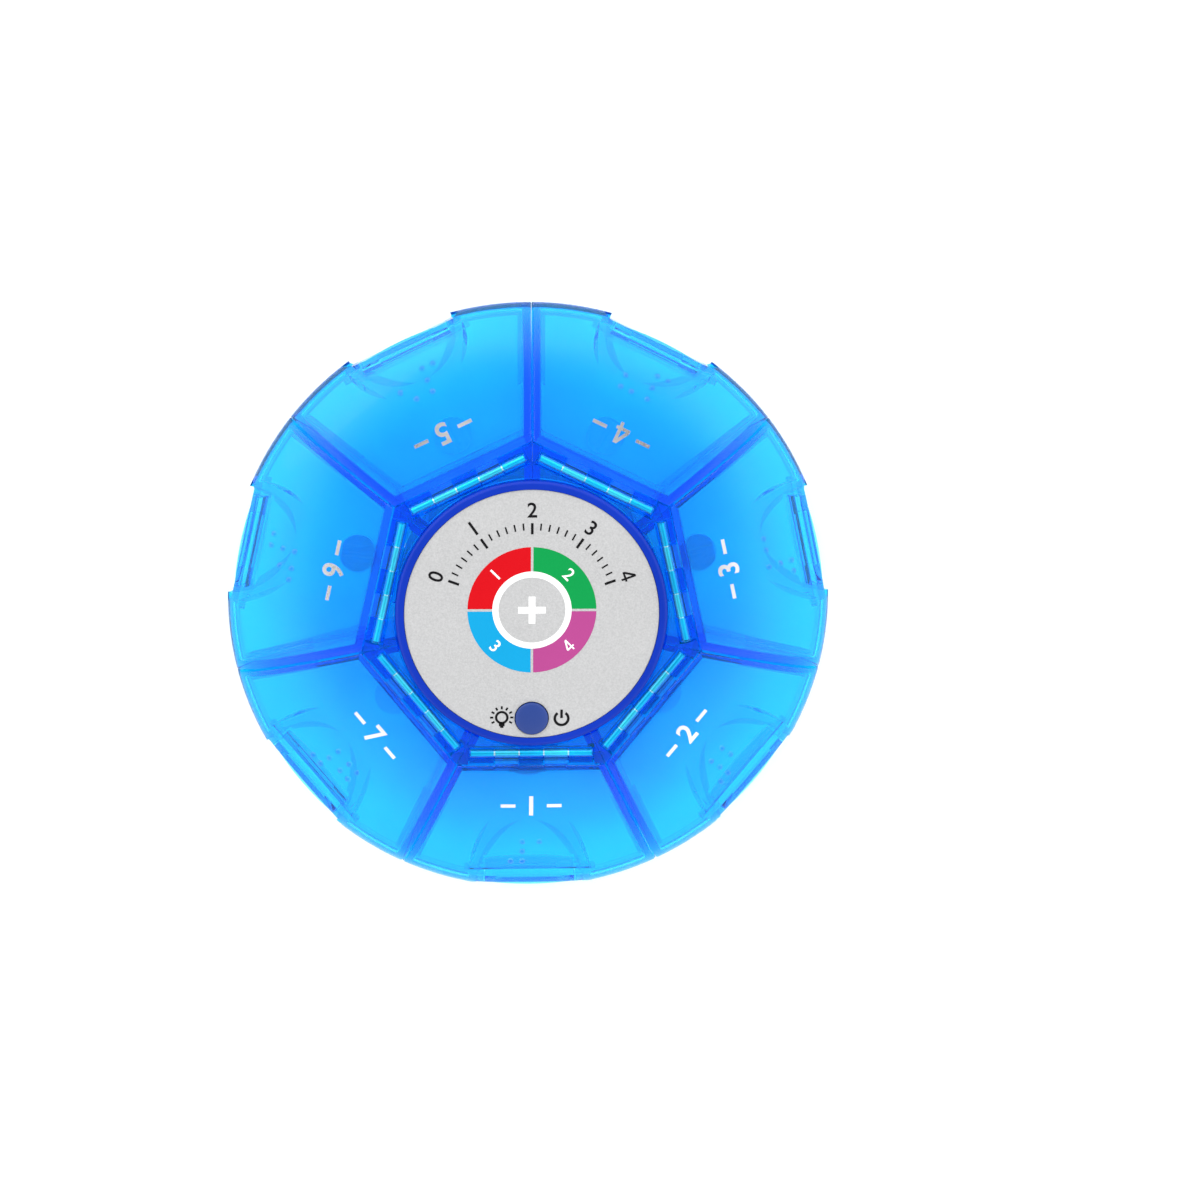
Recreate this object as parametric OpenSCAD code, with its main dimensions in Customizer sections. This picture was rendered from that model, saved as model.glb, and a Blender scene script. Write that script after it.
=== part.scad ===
// Round weekly pill box with a timer in its hub.
// Seven pods plug into the hub, and each pod has its own hinged lid.
// Millimetres. The box stands on its feet at z = 0, +Z is up, and the hub's axis is the Z axis.
// Pod 1 points to -Y, below the timer's button, and the others follow counter-clockwise from above.

/* [Case] */
// Radius over the rims of the lids
rim_r = 65; // [62:0.5:70]
// Height of the line where the lids meet the pods
parting_z = 12.5; // [12:0.25:14]
// Height of the lids' crown above that line
crown_h = 12; // [11.5:0.25:13]
// Radius out to which the pods' backs are flat
flat_r = 42; // [40:0.5:48]
// Gap between two neighbouring pods, and between their lids
pod_gap = 0.4; // [0.3:0.05:0.8]
// Thickness of the pods' walls and floor
wall_t = 1.5; // [1.2:0.1:1.8]
// Thickness of the lids and their skirts
lid_t = 1.5; // [1.2:0.1:1.8]
// Gap between a closed lid and its pod
seam = 0.15; // [0.1:0.05:0.3]

/* [Feet] */
// Height of a foot
foot_h = 1; // [0.8:0.1:1.6]
// Radius of a foot
foot_r = 4.15; // [3:0.05:5]
// Distance of the feet from the hub's axis
foot_at = 38.4; // [37:0.2:44]

/* [Lid hinge] */
// Distance of the hinge lines from the drum
hinge_out = 1.9; // [1.9:0.1:3]
// Depth of the hinge line below the lid's crown above it
hinge_drop = 1.45; // [1.4:0.05:1.8]
// Outer radius of the knuckles
knuckle_r = 1.3; // [1.2:0.05:1.4]
// Radius of the hinge pin
pin_r = 0.75; // [0.6:0.05:0.8]
// Half the length of the hinge
hinge_half = 13.3; // [12:0.1:13.5]
// Half the width of the middle knuckle, on the pod
mid_knuckle_half = 2.5; // [2:0.1:3.5]
// Width of a lid's knuckle
lid_knuckle_w = 5; // [4:0.1:5.5]
// Gap beside a knuckle
knuckle_gap = 0.3; // [0.2:0.05:0.5]
// Clearance of the pin in a lid's knuckle, on the radius
pin_clear = 0.05; // [0.03:0.01:0.08]
// Distance from the hinge line to the lid's inner skirt
lid_edge = 2.6; // [2.5:0.05:3]

/* [Latch] */
// Depth of the recess in the rim that takes the latch
flat_depth = 2.2; // [1.8:0.05:2.4]
// Width of that recess at its floor
recess_w = 23.7; // [22.5:0.1:25]
// Height of the recess above the parting line, in the lid
recess_up = 3.3; // [2.8:0.1:3.8]
// Width of the lid's latch tab
tab_w = 19.8; // [17:0.2:21]
// Length of the tab below the parting line
tab_drop = 5.8; // [5.2:0.1:6.2]
// How far the tab's lower edge bows down in the middle
tab_bow = 1.2; // [0.6:0.1:1.6]
// Lean of the tab towards the pod, in degrees
tab_lean = 18; // [14:1:20]
// Thickness of the tab
tab_t = 1.55; // [1.3:0.05:1.7]
// Width of the pod's catch ridge
catch_w = 11.8; // [9:0.2:13]
// Height of the catch ridge
catch_h = 1; // [0.8:0.1:1.4]
// How far the ridge stands out into the tab's slot
catch_out = 1.6; // [1.2:0.1:1.8]
// Depth of the ridge's middle below the parting line
catch_drop = 2.8; // [2.6:0.1:3.2]
// Gap around the tab and around the ridge
latch_gap = 0.25; // [0.2:0.05:0.4]
// Radius of the thumb scoop's hollow under the tab
scoop_r = 60; // [50:1:80]
// Greatest depth of the scoop below the pod's surface
scoop_depth = 2.1; // [1.8:0.05:2.3]
// How far the scoop reaches below the parting line
scoop_drop = 9.6; // [9:0.1:10]
// Radius of the scoop's round lower edge
scoop_edge_r = 12.5; // [12.4:0.1:14]

/* [Pod] */
// Height of the lip that centres the lid
lip_h = 1.2; // [0.8:0.1:1.6]
// Thickness of the lip
lip_t = 0.8; // [0.6:0.05:1]
// Gap between the lip and the lid's skirt
lip_gap = 0.35; // [0.3:0.05:0.5]
// Distance from the lid's inner skirt to the start of the lip
lip_start = 10.5; // [8:0.5:14]
// Width of the tongue that plugs into the hub
tongue_w = 12; // [8:0.5:13]
// Thickness of the tongue
tongue_t = 2.4; // [2:0.1:3]
// Height of the tongue's underside
tongue_z = 12.6; // [12.4:0.1:14]
// How far the tongue reaches inside the hub's wall
tongue_in = 1.3; // [0.8:0.1:1.4]
// Clearance of the pod round the hub and of the tongue in its slot
dock_gap = 0.25; // [0.2:0.05:0.4]

/* [Braille] */
// Distance of the raised dots from the hub's axis
braille_at = 54; // [48:0.5:56]
// Spacing of the dots in a cell
dot_pitch = 2.5; // [2.3:0.05:2.6]
// Spacing of the two cells
cell_pitch = 6.2; // [6:0.1:6.6]
// Radius of a dot where it meets the lid
dot_r = 0.75; // [0.6:0.05:0.85]
// Height of a dot
dot_h = 0.5; // [0.3:0.05:0.6]

/* [Hub] */
// Outer radius of the drum
hub_r = 29; // [28.8:0.05:29.1]
// Thickness of the drum's wall and top
hub_t = 1.6; // [1.4:0.1:1.8]
// Depth of the drum's bezel below the crown of the lids
bezel_drop = 0.2; // [0:0.05:0.4]
// Radius of the bezel's rounded edge
bezel_round = 0.9; // [0.5:0.05:1.1]
// Width of the bezel outside the printed face label
bezel_w = 2; // [1.7:0.05:2.2]
// Thickness of the label
label_t = 0.6; // [0.3:0.05:0.8]
// How far the label lies below the bezel
label_sunk = 0.2; // [0:0.05:0.4]
// Gap round the label, the cover and the door
fit_gap = 0.2; // [0.1:0.05:0.3]
// Distance of the dial's centre above the middle of the face
dial_y = 1.1; // [0:0.1:2]
// Distance of the lamps from the dial's centre
lamp_at = 11; // [10:0.1:12]
// Radius of the light windows
window_r = 2.2; // [1.5:0.1:2.4]

/* [Button] */
// Radius of the button
button_r = 3.5; // [3:0.1:3.8]
// Distance of the button from the drum's wall
button_in = 4.7; // [4.6:0.1:5.6]
// Height of the button above the bezel
button_up = 0.7; // [0.5:0.05:1]
// Travel of the button
button_travel = 0.5; // [0.3:0.05:0.6]
// Clearance of the button in its hole
button_gap = 0.1; // [0.08:0.01:0.15]
// Width of the button's retaining flange
flange_w = 1; // [0.6:0.1:1.2]
// Thickness of that flange
flange_t = 1.1; // [0.8:0.1:1.4]

/* [Electronics] */
// Gap between the circuit board and the drum's wall
board_gap = 0.8; // [0.6:0.1:1]
// Thickness of the circuit board
board_t = 1.6; // [1.2:0.1:1.8]
// Height of the board's underside
board_z = 9.6; // [9.5:0.1:10]
// Width of the push switch
switch_w = 6; // [5:0.1:6.2]
// Height of the push switch's case
switch_h = 3.4; // [3:0.1:3.8]
// Radius of the switch's plunger
plunger_r = 1.75; // [1.4:0.05:2]
// Gap between the buzzer and the light baffle, and between it and the pods' tongues
buzzer_gap = 1; // [0.8:0.1:1.8]
// Height of the buzzer
buzzer_h = 5.5; // [4:0.1:7]
// Radius of the coin cell
cell_r = 10; // [9.8:0.05:10.1]
// Thickness of the coin cell
cell_t = 3.2; // [2.5:0.1:3.2]
// Thickness of the battery contacts
strip_t = 0.25; // [0.2:0.05:0.3]
// Distance of the timer chip from the drum's wall
chip_in = 6.6; // [6:0.1:7.2]
// Distance of the board's bosses from the drum's wall
boss_in = 6.8; // [6.6:0.1:7.6]

/* [Back] */
// Thickness of the back cover and its battery door
cover_t = 1.8; // [1.6:0.05:2]
// How far the cover stands out behind the pods
cover_proud = 0.6; // [0.3:0.05:0.7]
// Radius of the battery door
door_r = 11.6; // [11.2:0.1:12]
// How far the door's lugs reach past the opening
lug_reach = 1.4; // [1:0.1:1.8]
// Width of the door's lugs, in degrees
lug_deg = 24; // [16:1:28]
// Turn that frees the door, in degrees
door_turn = 50; // [45:1:60]
// Distance of the cover's screws from the drum's wall
post_in = 3.8; // [3.8:0.1:4.4]
// Radius of the screw posts
post_r = 2.2; // [2:0.05:2.4]
// Radius of the screws' thread
screw_r = 0.9; // [0.7:0.05:1]
// Radius of the screws' heads
head_r = 1.8; // [1.5:0.05:1.9]
// Height of the screws' heads
head_h = 1; // [0.8:0.05:1.1]

/* [Hidden] */
$fn = 96;
days = 7;
pitch = 360 / days;
half = pitch / 2;
far = 2 * rim_r;

// Overlap of joined solids, and how far a cut runs past a face
eps = 0.01;
over = 1;

// Heights of the case
back_z = foot_h;
base_depth = parting_z - back_z;
crown_top = parting_z + crown_h;
profile_steps = 14;

// Hinge
hinge_x = hub_r + hinge_out;
hinge_z = crown_at(hinge_x) - hinge_drop;
wall_x1 = hinge_x + lid_edge - knuckle_gap;
wall_x0 = wall_x1 - wall_t;
wall_top = hinge_z - knuckle_r - knuckle_gap;
plate_x = hinge_x - knuckle_r - knuckle_gap;
lid_x0 = hinge_x + lid_edge;
side = pod_gap / 2;
dock_r = hub_r + dock_gap;

// Latch
flat_x = rim_r - flat_depth;
tab_x0 = flat_x - tab_t;
pocket_x = tab_x0 - 2 * latch_gap;
pocket_in = -tab_t - 2 * latch_gap;
pocket_half = tab_w / 2 + latch_gap;
bow_r = (tab_w * tab_w / 4 + tab_bow * tab_bow) / (2 * tab_bow);
lip_x0 = lid_x0 + lip_start;

// Scoop: a cylinder along the rim, sunk to its depth where the pod's shoulder faces out and down
scoop_turn = 54;
scoop_surface = [base_r(scoop_turn), base_z(scoop_turn)];
scoop_lean = 51.5;
scoop_dir = [cos(scoop_lean), -sin(scoop_lean)];
scoop_at = scoop_surface + (scoop_r - scoop_depth) * scoop_dir;

// Hub stack, from the face down
bezel_z = crown_top - bezel_drop;
seat_z = bezel_z - label_sunk - label_t;
plate_z = seat_z - hub_t;
bore_r = hub_r - hub_t;
label_r = hub_r - bezel_w;
board_r = bore_r - board_gap;
button_at = bore_r - button_in;
chip_at = bore_r - chip_in;
boss_at = bore_r - boss_in;
board_top = board_z + board_t;
flange_z = plate_z - button_gap - flange_t;
switch_top = board_top + switch_h;
plunger_bottom = switch_top - button_travel - button_gap;
stem_z = switch_top + button_travel + 4 * button_gap;
stem_r = plunger_r - button_gap;
baffle_wall = 1;
baffle_r = lamp_at + window_r + fit_gap + baffle_wall;
lamp_size = [3.2, 2.8, 1];
buzzer_r = (bore_r - tongue_in - baffle_r) / 2 - buzzer_gap;
buzzer_at = baffle_r + buzzer_gap + buzzer_r;

// Back stack
cover_z = back_z - cover_proud;
cover_in = cover_z + cover_t;
cover_r = bore_r - fit_gap;
post_at = bore_r - post_in;
lug_play = 0.15;
lug_z = cover_in + lug_play;
lug_t = 0.85;
lug_slack = 4;
holder_z = lug_z + lug_t + fit_gap;
holder_t = 1.2;
holder_wall = 1.8;
holder_in = cell_r + 2 * fit_gap;
holder_out = holder_in + holder_wall;
cell_z = holder_z + fit_gap;
post_angles = [90, 210, 330];
boss_angles = [30, 150, 245];
thread_len = 6;

// Height of the lids' crown, and of its underside, over a distance from the axis
function crown_at(r) = parting_z + crown_h * sqrt(1 - pow(r / rim_r, 3));

// One point of the crown and one of the pods' base, for a turn from the middle out to the rim
function crown_point(a, r, h) = [r * pow(sin(a), 2 / 3), parting_z + h * cos(a)];
function base_r(a, r = rim_r) = flat_r + (r - flat_r) * sin(a);
function base_z(a, depth = base_depth) = parting_z - depth * pow(cos(a), 1.54);

// Everything under a crown that ends at radius r, down to the parting line
module crown_solid(r, h) {
    rotate_extrude()
        polygon(concat([[0, parting_z]],
            [for (i = [profile_steps:-1:1]) crown_point(90 * i / profile_steps, r, h)],
            [[0, parting_z + h]]));
}

// Everything above the pods' base, up to the parting line
module base_solid(r, depth) {
    rotate_extrude()
        polygon(concat([[0, parting_z]],
            [for (i = [profile_steps:-1:0])
                [base_r(90 * i / profile_steps, r), base_z(90 * i / profile_steps, depth)]],
            [[0, parting_z - depth]]));
}

// Plan of one slice, with both sides moved in
module slice(inset) {
    tip = inset / sin(half);
    polygon([[tip, 0],
        [tip + far * cos(half), far * sin(half)],
        [tip + far * cos(half), -far * sin(half)]]);
}

// The same slice as a column, cut off at x0 and x1
module column(inset, x0, x1, z0, z1) {
    translate([0, 0, z0])
        linear_extrude(z1 - z0)
            intersection() {
                slice(inset);
                translate([x0, -far])
                    square([x1 - x0, 2 * far]);
            }
}

// A bar along the hinge, between two places across the pod
module bar(r, y0, y1) {
    translate([hinge_x, y1, hinge_z])
        rotate([90, 0, 0])
            cylinder(r = r, h = y1 - y0);
}

module block(x0, x1, y0, y1, z0, z1) {
    translate([x0, y0, z0])
        cube([x1 - x0, y1 - y0, z1 - z0]);
}

// Frame of the latch: its origin is where the flat meets the parting line, and its -Z runs down the tab
module at_latch() {
    translate([flat_x, 0, parting_z])
        rotate([0, tab_lean, 0])
            children();
}

// Prism along X, outwards from x0, through a side outline whose origin lies on the parting line
module side_prism(x0) {
    translate([x0, 0, parting_z])
        rotate([90, 0, 90])
            linear_extrude(far)
                children();
}

// Recess in the rim and hollow under the tab, with walls at both ends and a round lower edge
module dish(grow) {
    intersection() {
        side_prism(flat_r)
            intersection() {
                translate([-recess_w / 2 - grow, -base_depth])
                    square([recess_w + 2 * grow, base_depth + over]);
                translate([0, scoop_edge_r - scoop_drop])
                    circle(r = scoop_edge_r + grow);
            }
        union() {
            translate([scoop_at[0], far / 2, scoop_at[1]])
                rotate([90, 0, 0])
                    cylinder(r = scoop_r + grow, h = far);
            block(flat_x - grow, far, -rim_r, rim_r, back_z, crown_top);
        }
    }
}

// The same recess in the lid's rim, with flared ends and rounded upper corners
module lid_recess() {
    flare = 2.3;
    corner = 3;
    floor_half = recess_w / 2;
    mouth_x = rim_r + over;
    mouth_half = floor_half + flare * (mouth_x - flat_x);
    top_half = floor_half + 1.75;
    intersection() {
        linear_extrude(crown_top)
            polygon([[flat_x, -floor_half], [mouth_x, -mouth_half],
                [mouth_x, mouth_half], [flat_x, floor_half]]);
        side_prism(flat_x - over) {
            translate([-top_half, -over])
                square([2 * top_half, recess_up - corner + over]);
            translate([corner - top_half, -over])
                square([2 * (top_half - corner), recess_up + over]);
            for (s = [-1, 1])
                translate([s * (top_half - corner), recess_up - corner])
                    circle(r = corner);
        }
    }
}

// Puts a pod's pieces on its own side of the hub
module on_side(n) {
    rotate([0, 0, -90 + pitch * (n - 1)])
        children();
}

// Walls and floor below the parting line
module pod_shell() {
    difference() {
        intersection() {
            base_solid(rim_r, base_depth);
            column(side, 0, rim_r, back_z, parting_z);
        }
        difference() {
            intersection() {
                base_solid(rim_r - wall_t, base_depth - wall_t);
                column(side + wall_t, wall_x1, rim_r, back_z, parting_z + eps);
            }
            dish(wall_t);
            at_latch()
                block(pocket_in - wall_t, wall_t, -pocket_half - wall_t, pocket_half + wall_t,
                    -parting_z, crown_h);
        }
        column(side + wall_t, 0, wall_x0, back_z + wall_t, parting_z + eps);
    }
}

// Part of the pod that rises behind the lid: the inner wall, two side webs and the top plates
module pod_back() {
    difference() {
        intersection() {
            crown_solid(rim_r, crown_h);
            column(side, 0, wall_x1, parting_z - eps, crown_top);
        }
        intersection() {
            crown_solid(rim_r, crown_h - wall_t);
            column(side + wall_t, 0, wall_x0, parting_z - 2 * eps, crown_top);
        }
        block(plate_x, wall_x1 + eps, -hinge_half - knuckle_gap, hinge_half + knuckle_gap,
            wall_top, crown_top);
    }
}

module pod_knuckle(y0, y1) {
    foot_drop = 1;
    bar(knuckle_r, y0, y1);
    block(hinge_x - knuckle_r, wall_x1, y0, y1, wall_top - foot_drop, hinge_z);
}

// Plan inside the lid's skirts and behind its recess, from x0 outwards, moved in once more
module lip_plan(x0, inset) {
    notch_half = recess_w / 2 + lid_t + inset;
    difference() {
        intersection() {
            circle(r = rim_r - wall_t - inset);
            slice(side + wall_t + inset);
            translate([x0, -far])
                square([far, 2 * far]);
        }
        translate([pocket_x - inset, -notch_half])
            square([far, 2 * notch_half]);
    }
}

// The lip runs along the sides and the rim, and is open towards the hinge
module lip() {
    inner = lip_gap + lip_t;
    // Foot of the lip, joined to the walls
    translate([0, 0, parting_z - lip_h])
        linear_extrude(lip_h)
            difference() {
                intersection() {
                    circle(r = rim_r - wall_t + eps);
                    slice(side + wall_t - eps);
                    translate([lip_x0, -far])
                        square([far, 2 * far]);
                }
                lip_plan(0, inner);
            }
    translate([0, 0, parting_z - eps])
        linear_extrude(lip_h + eps)
            difference() {
                lip_plan(lip_x0, lip_gap);
                lip_plan(0, inner);
            }
}

module pod(n) {
    color("royalblue", 0.6)
        on_side(n) {
            difference() {
                union() {
                    pod_shell();
                    pod_back();
                    lip();
                    pod_knuckle(-hinge_half, -mid_knuckle_half - lid_knuckle_w - 2 * knuckle_gap);
                    pod_knuckle(-mid_knuckle_half, mid_knuckle_half);
                    pod_knuckle(mid_knuckle_half + lid_knuckle_w + 2 * knuckle_gap, hinge_half);
                }
                translate([0, 0, -eps])
                    cylinder(r = dock_r, h = crown_top + over);
                bar(pin_r + pin_clear / 2, -hinge_half - eps, hinge_half + eps);
                dish(0);
                at_latch()
                    block(pocket_in, rim_r, -pocket_half, pocket_half,
                        -tab_drop - latch_gap, crown_h);
            }
            block(bore_r - tongue_in, wall_x0 + eps, -tongue_w / 2, tongue_w / 2,
                tongue_z, tongue_z + tongue_t);
            at_latch()
                block(pocket_in - wall_t / 2, pocket_in + catch_out, -catch_w / 2, catch_w / 2,
                    -catch_drop - catch_h / 2, -catch_drop + catch_h / 2);
        }
}

module lid_shell() {
    difference() {
        intersection() {
            crown_solid(rim_r, crown_h);
            column(side, lid_x0, rim_r, parting_z + seam, crown_top);
        }
        difference() {
            intersection() {
                crown_solid(rim_r - lid_t, crown_h - lid_t);
                column(side + lid_t, lid_x0 + lid_t, rim_r, parting_z, crown_top);
            }
            block(tab_x0, rim_r, -recess_w / 2 - lid_t, recess_w / 2 + lid_t,
                0, parting_z + recess_up + lid_t);
        }
        lid_recess();
    }
}

module lid_knuckle(y0) {
    arm_h = 1;
    arm_drop = 0.2;
    y1 = y0 + lid_knuckle_w;
    bar(knuckle_r, y0, y1);
    block(hinge_x, lid_x0 + eps, y0, y1, hinge_z, hinge_z + arm_h);
    block(hinge_x + knuckle_r, lid_x0 + eps, y0, y1, hinge_z - arm_drop, hinge_z + arm_h);
}

// Plate with a bowed lower edge and a slot for the pod's ridge, flush with the flat on the lid
module lid_tab() {
    slot_h = catch_h + 2 * latch_gap;
    root_h = 1;
    intersection() {
        at_latch()
            translate([-tab_t, 0, 0])
                rotate([90, 0, 90])
                    linear_extrude(tab_t)
                        difference() {
                            intersection() {
                                translate([-tab_w / 2, -tab_drop])
                                    square([tab_w, tab_drop + seam + root_h]);
                                translate([0, bow_r - tab_drop])
                                    circle(r = bow_r);
                            }
                            translate([-catch_w / 2 - latch_gap, -catch_drop - slot_h / 2])
                                square([catch_w + 2 * latch_gap, slot_h]);
                        }
        block(0, flat_x, -tab_w, tab_w, 0, crown_top);
    }
}

// Places of a braille cell's six dots, in columns and rows
dot_places = [[0, 0], [0, -1], [0, -2], [1, 0], [1, -1], [1, -2]];
number_sign = [3, 4, 5, 6];
digit_dots = [[1], [1, 2], [1, 4], [1, 4, 5], [1, 5], [1, 2, 4], [1, 2, 4, 5]];

module braille_cell(dots, across) {
    dome_r = (dot_r * dot_r + dot_h * dot_h) / (2 * dot_h);
    for (d = dots) {
        x = braille_at - dot_pitch * (dot_places[d - 1][1] + 1);
        y = across + dot_pitch * (dot_places[d - 1][0] - 0.5);
        translate([x, y, crown_at(norm([x, y])) + dot_h - dome_r])
            sphere(r = dome_r, $fn = 32);
    }
}

module lid(n) {
    color("deepskyblue", 0.5)
        on_side(n)
            difference() {
                union() {
                    lid_shell();
                    lid_knuckle(-mid_knuckle_half - lid_knuckle_w - knuckle_gap);
                    lid_knuckle(mid_knuckle_half + knuckle_gap);
                    lid_tab();
                    braille_cell(number_sign, -cell_pitch / 2);
                    braille_cell(digit_dots[n - 1], cell_pitch / 2);
                }
                bar(pin_r + pin_clear, -hinge_half, hinge_half);
            }
}

module hinge_pin(n) {
    pin_half = hinge_half - 0.3;
    color("silver")
        on_side(n)
            bar(pin_r, -pin_half, pin_half);
}

module foot(n) {
    edge = foot_h / 4;
    color("lightskyblue", 0.7)
        on_side(n)
            translate([foot_at, 0, 0])
                rotate_extrude()
                    polygon([[0, 0], [foot_r - edge, 0], [foot_r, edge],
                        [foot_r, foot_h], [0, foot_h]]);
}

// Profile of the drum: wall, top and the rounded bezel round the label
module drum() {
    rotate_extrude()
        polygon(concat(
            [[0, plate_z], [bore_r, plate_z], [bore_r, back_z], [hub_r, back_z]],
            [for (a = [0:15:90])
                [hub_r - bezel_round * (1 - cos(a)), bezel_z - bezel_round * (1 - sin(a))]],
            [[label_r + fit_gap / 2, bezel_z], [label_r + fit_gap / 2, seat_z], [0, seat_z]]));
}

module at_posts() {
    for (a = post_angles)
        rotate([0, 0, a])
            translate([post_at, 0, 0])
                children();
}

module at_bosses() {
    for (a = boss_angles)
        rotate([0, 0, a])
            translate([boss_at, 0, 0])
                children();
}

module at_lamps() {
    for (a = [45:90:315])
        translate([lamp_at * cos(a), dial_y + lamp_at * sin(a), 0])
            children();
}

module at_button() {
    translate([0, -button_at, 0])
        children();
}

module hub_housing() {
    color("mediumblue")
        difference() {
            union() {
                drum();
                at_posts()
                    translate([0, 0, cover_in])
                        cylinder(r = post_r, h = plate_z - cover_in + eps);
                at_bosses()
                    translate([0, 0, board_top])
                        cylinder(r = post_r, h = plate_z - board_top + eps);
            }
            for (n = [1:days])
                on_side(n)
                    block(bore_r - over, hub_r + over,
                        -tongue_w / 2 - dock_gap, tongue_w / 2 + dock_gap,
                        tongue_z - dock_gap, tongue_z + tongue_t + dock_gap);
            at_posts()
                translate([0, 0, cover_in - eps])
                    cylinder(r = screw_r + pin_clear, h = thread_len + over);
            at_bosses()
                translate([0, 0, board_top - eps])
                    cylinder(r = screw_r + pin_clear, h = thread_len + over);
            at_lamps()
                translate([0, 0, plate_z - over])
                    cylinder(r = window_r, h = hub_t + 2 * over);
            at_button()
                translate([0, 0, plate_z - over])
                    cylinder(r = button_r + button_gap, h = hub_t + 2 * over);
        }
}

module face_label() {
    color("gainsboro")
        difference() {
            translate([0, 0, seat_z])
                cylinder(r = label_r, h = label_t);
            at_button()
                translate([0, 0, seat_z - over])
                    cylinder(r = button_r + fit_gap, h = label_t + 2 * over);
        }
}

// Cap with a shallow dome, a flange that holds it under the face, and a stem down to the switch
module timer_button() {
    edge_z = bezel_z + button_up / 3;
    color("midnightblue")
        at_button()
            rotate_extrude()
                polygon(concat(
                    [[0, stem_z], [stem_r, stem_z], [stem_r, flange_z],
                        [button_r + flange_w, flange_z],
                        [button_r + flange_w, flange_z + flange_t],
                        [button_r, flange_z + flange_t]],
                    [for (a = [0:10:80])
                        [button_r * cos(a), edge_z + (bezel_z + button_up - edge_z) * sin(a)]],
                    [[0, bezel_z + button_up]]));
}

// White walls that keep the four colours of light apart
module light_baffle() {
    h = plate_z - board_top - 2 * eps;
    color("white")
        translate([0, dial_y, board_top + eps]) {
            difference() {
                cylinder(r = baffle_r, h = h);
                translate([0, 0, -over])
                    cylinder(r = baffle_r - baffle_wall, h = h + 2 * over);
            }
            for (a = [0, 90])
                rotate([0, 0, a])
                    translate([-baffle_r + baffle_wall / 2, -baffle_wall / 2, 0])
                        cube([2 * baffle_r - baffle_wall, baffle_wall, h]);
        }
}

module status_lamps() {
    color("lightyellow")
        at_lamps()
            translate([0, 0, board_top + lamp_size[2] / 2])
                cube(lamp_size, center = true);
}

module circuit_board() {
    color("darkgreen")
        difference() {
            translate([0, 0, board_z])
                cylinder(r = board_r, h = board_t);
            at_posts()
                translate([0, 0, board_z - over])
                    cylinder(r = post_r + 2 * fit_gap, h = board_t + 2 * over);
            at_bosses()
                translate([0, 0, board_z - over])
                    cylinder(r = screw_r + fit_gap, h = board_t + 2 * over);
        }
}

module push_switch() {
    color("dimgray")
        at_button()
            difference() {
                translate([-switch_w / 2, -switch_w / 2, board_top])
                    cube([switch_w, switch_w, switch_h]);
                translate([0, 0, plunger_bottom - button_travel - button_gap])
                    cylinder(r = plunger_r + button_gap, h = switch_h);
            }
}

module switch_plunger() {
    color("black")
        at_button()
            translate([0, 0, plunger_bottom])
                cylinder(r = plunger_r, h = stem_z - plunger_bottom);
}

// Timer chip with four legs down each side
module timer_chip() {
    size = [4, 9, 1.5];
    lift = 0.1;
    leg = [1.2, 0.5, 0.4];
    leg_out = 2.5;
    leg_pitch = 2;
    color("dimgray")
        translate([chip_at, 0, board_top]) {
            translate([-size[0] / 2, -size[1] / 2, lift])
                cube(size);
            for (s = [-1, 1])
                for (i = [-1.5:1:1.5])
                    translate([s * leg_out, i * leg_pitch, leg[2] / 2])
                        cube(leg, center = true);
        }
}

// Round case with a sound port in its top
module buzzer() {
    port_r = 1;
    port_depth = 1;
    color("black")
        translate([-buzzer_at, 0, board_top])
            difference() {
                cylinder(r = buzzer_r, h = buzzer_h);
                translate([0, 0, buzzer_h - port_depth])
                    cylinder(r = port_r, h = port_depth + over);
            }
}

// Pan-head screw with its head down and a cross recess in it
module screw() {
    cross = [1.2 * head_r, 0.4, 0.4];
    translate([0, 0, -head_h])
        difference() {
            union() {
                cylinder(r = head_r, h = head_h);
                cylinder(r = screw_r, h = head_h + thread_len);
            }
            for (a = [0, 90])
                rotate([0, 0, a])
                    translate([-cross[0] / 2, -cross[1] / 2, -over])
                        cube([cross[0], cross[1], cross[2] + over]);
        }
}

module board_screws() {
    color("silver")
        at_bosses()
            translate([0, 0, board_z])
                screw();
}

module battery_holder() {
    color("whitesmoke")
        difference() {
            translate([0, 0, holder_z])
                cylinder(r = holder_out, h = board_z - holder_z);
            translate([0, 0, holder_z - over])
                cylinder(r = holder_in, h = board_z - holder_t - holder_z + over);
        }
}

// Can with a rounded rim and the smaller negative cap on top
module coin_cell() {
    cap_h = 0.3;
    cap_r = cell_r - 1.2;
    rim = 0.4;
    color("silver")
        translate([0, 0, cell_z])
            rotate_extrude()
                polygon([[0, 0], [cell_r - rim, 0], [cell_r, rim], [cell_r, cell_t - cap_h],
                    [cap_r, cell_t - cap_h], [cap_r - cap_h, cell_t], [0, cell_t]]);
}

// Strip that touches the side of the cell, with a foot on the holder's floor
module positive_contact() {
    top = board_z - holder_t;
    bottom = cell_z + 2 * fit_gap;
    strip_r = cell_r + fit_gap / 2;
    strip_deg = 40;
    foot = [1.6, 4];
    color("gold") {
        translate([0, 0, bottom])
            rotate([0, 0, -strip_deg / 2])
                rotate_extrude(angle = strip_deg)
                    translate([strip_r, 0])
                        square([strip_t, top - bottom]);
        translate([strip_r - foot[0] + strip_t / 2, -foot[1] / 2, top - strip_t])
            cube([foot[0], foot[1], strip_t]);
    }
}

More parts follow.
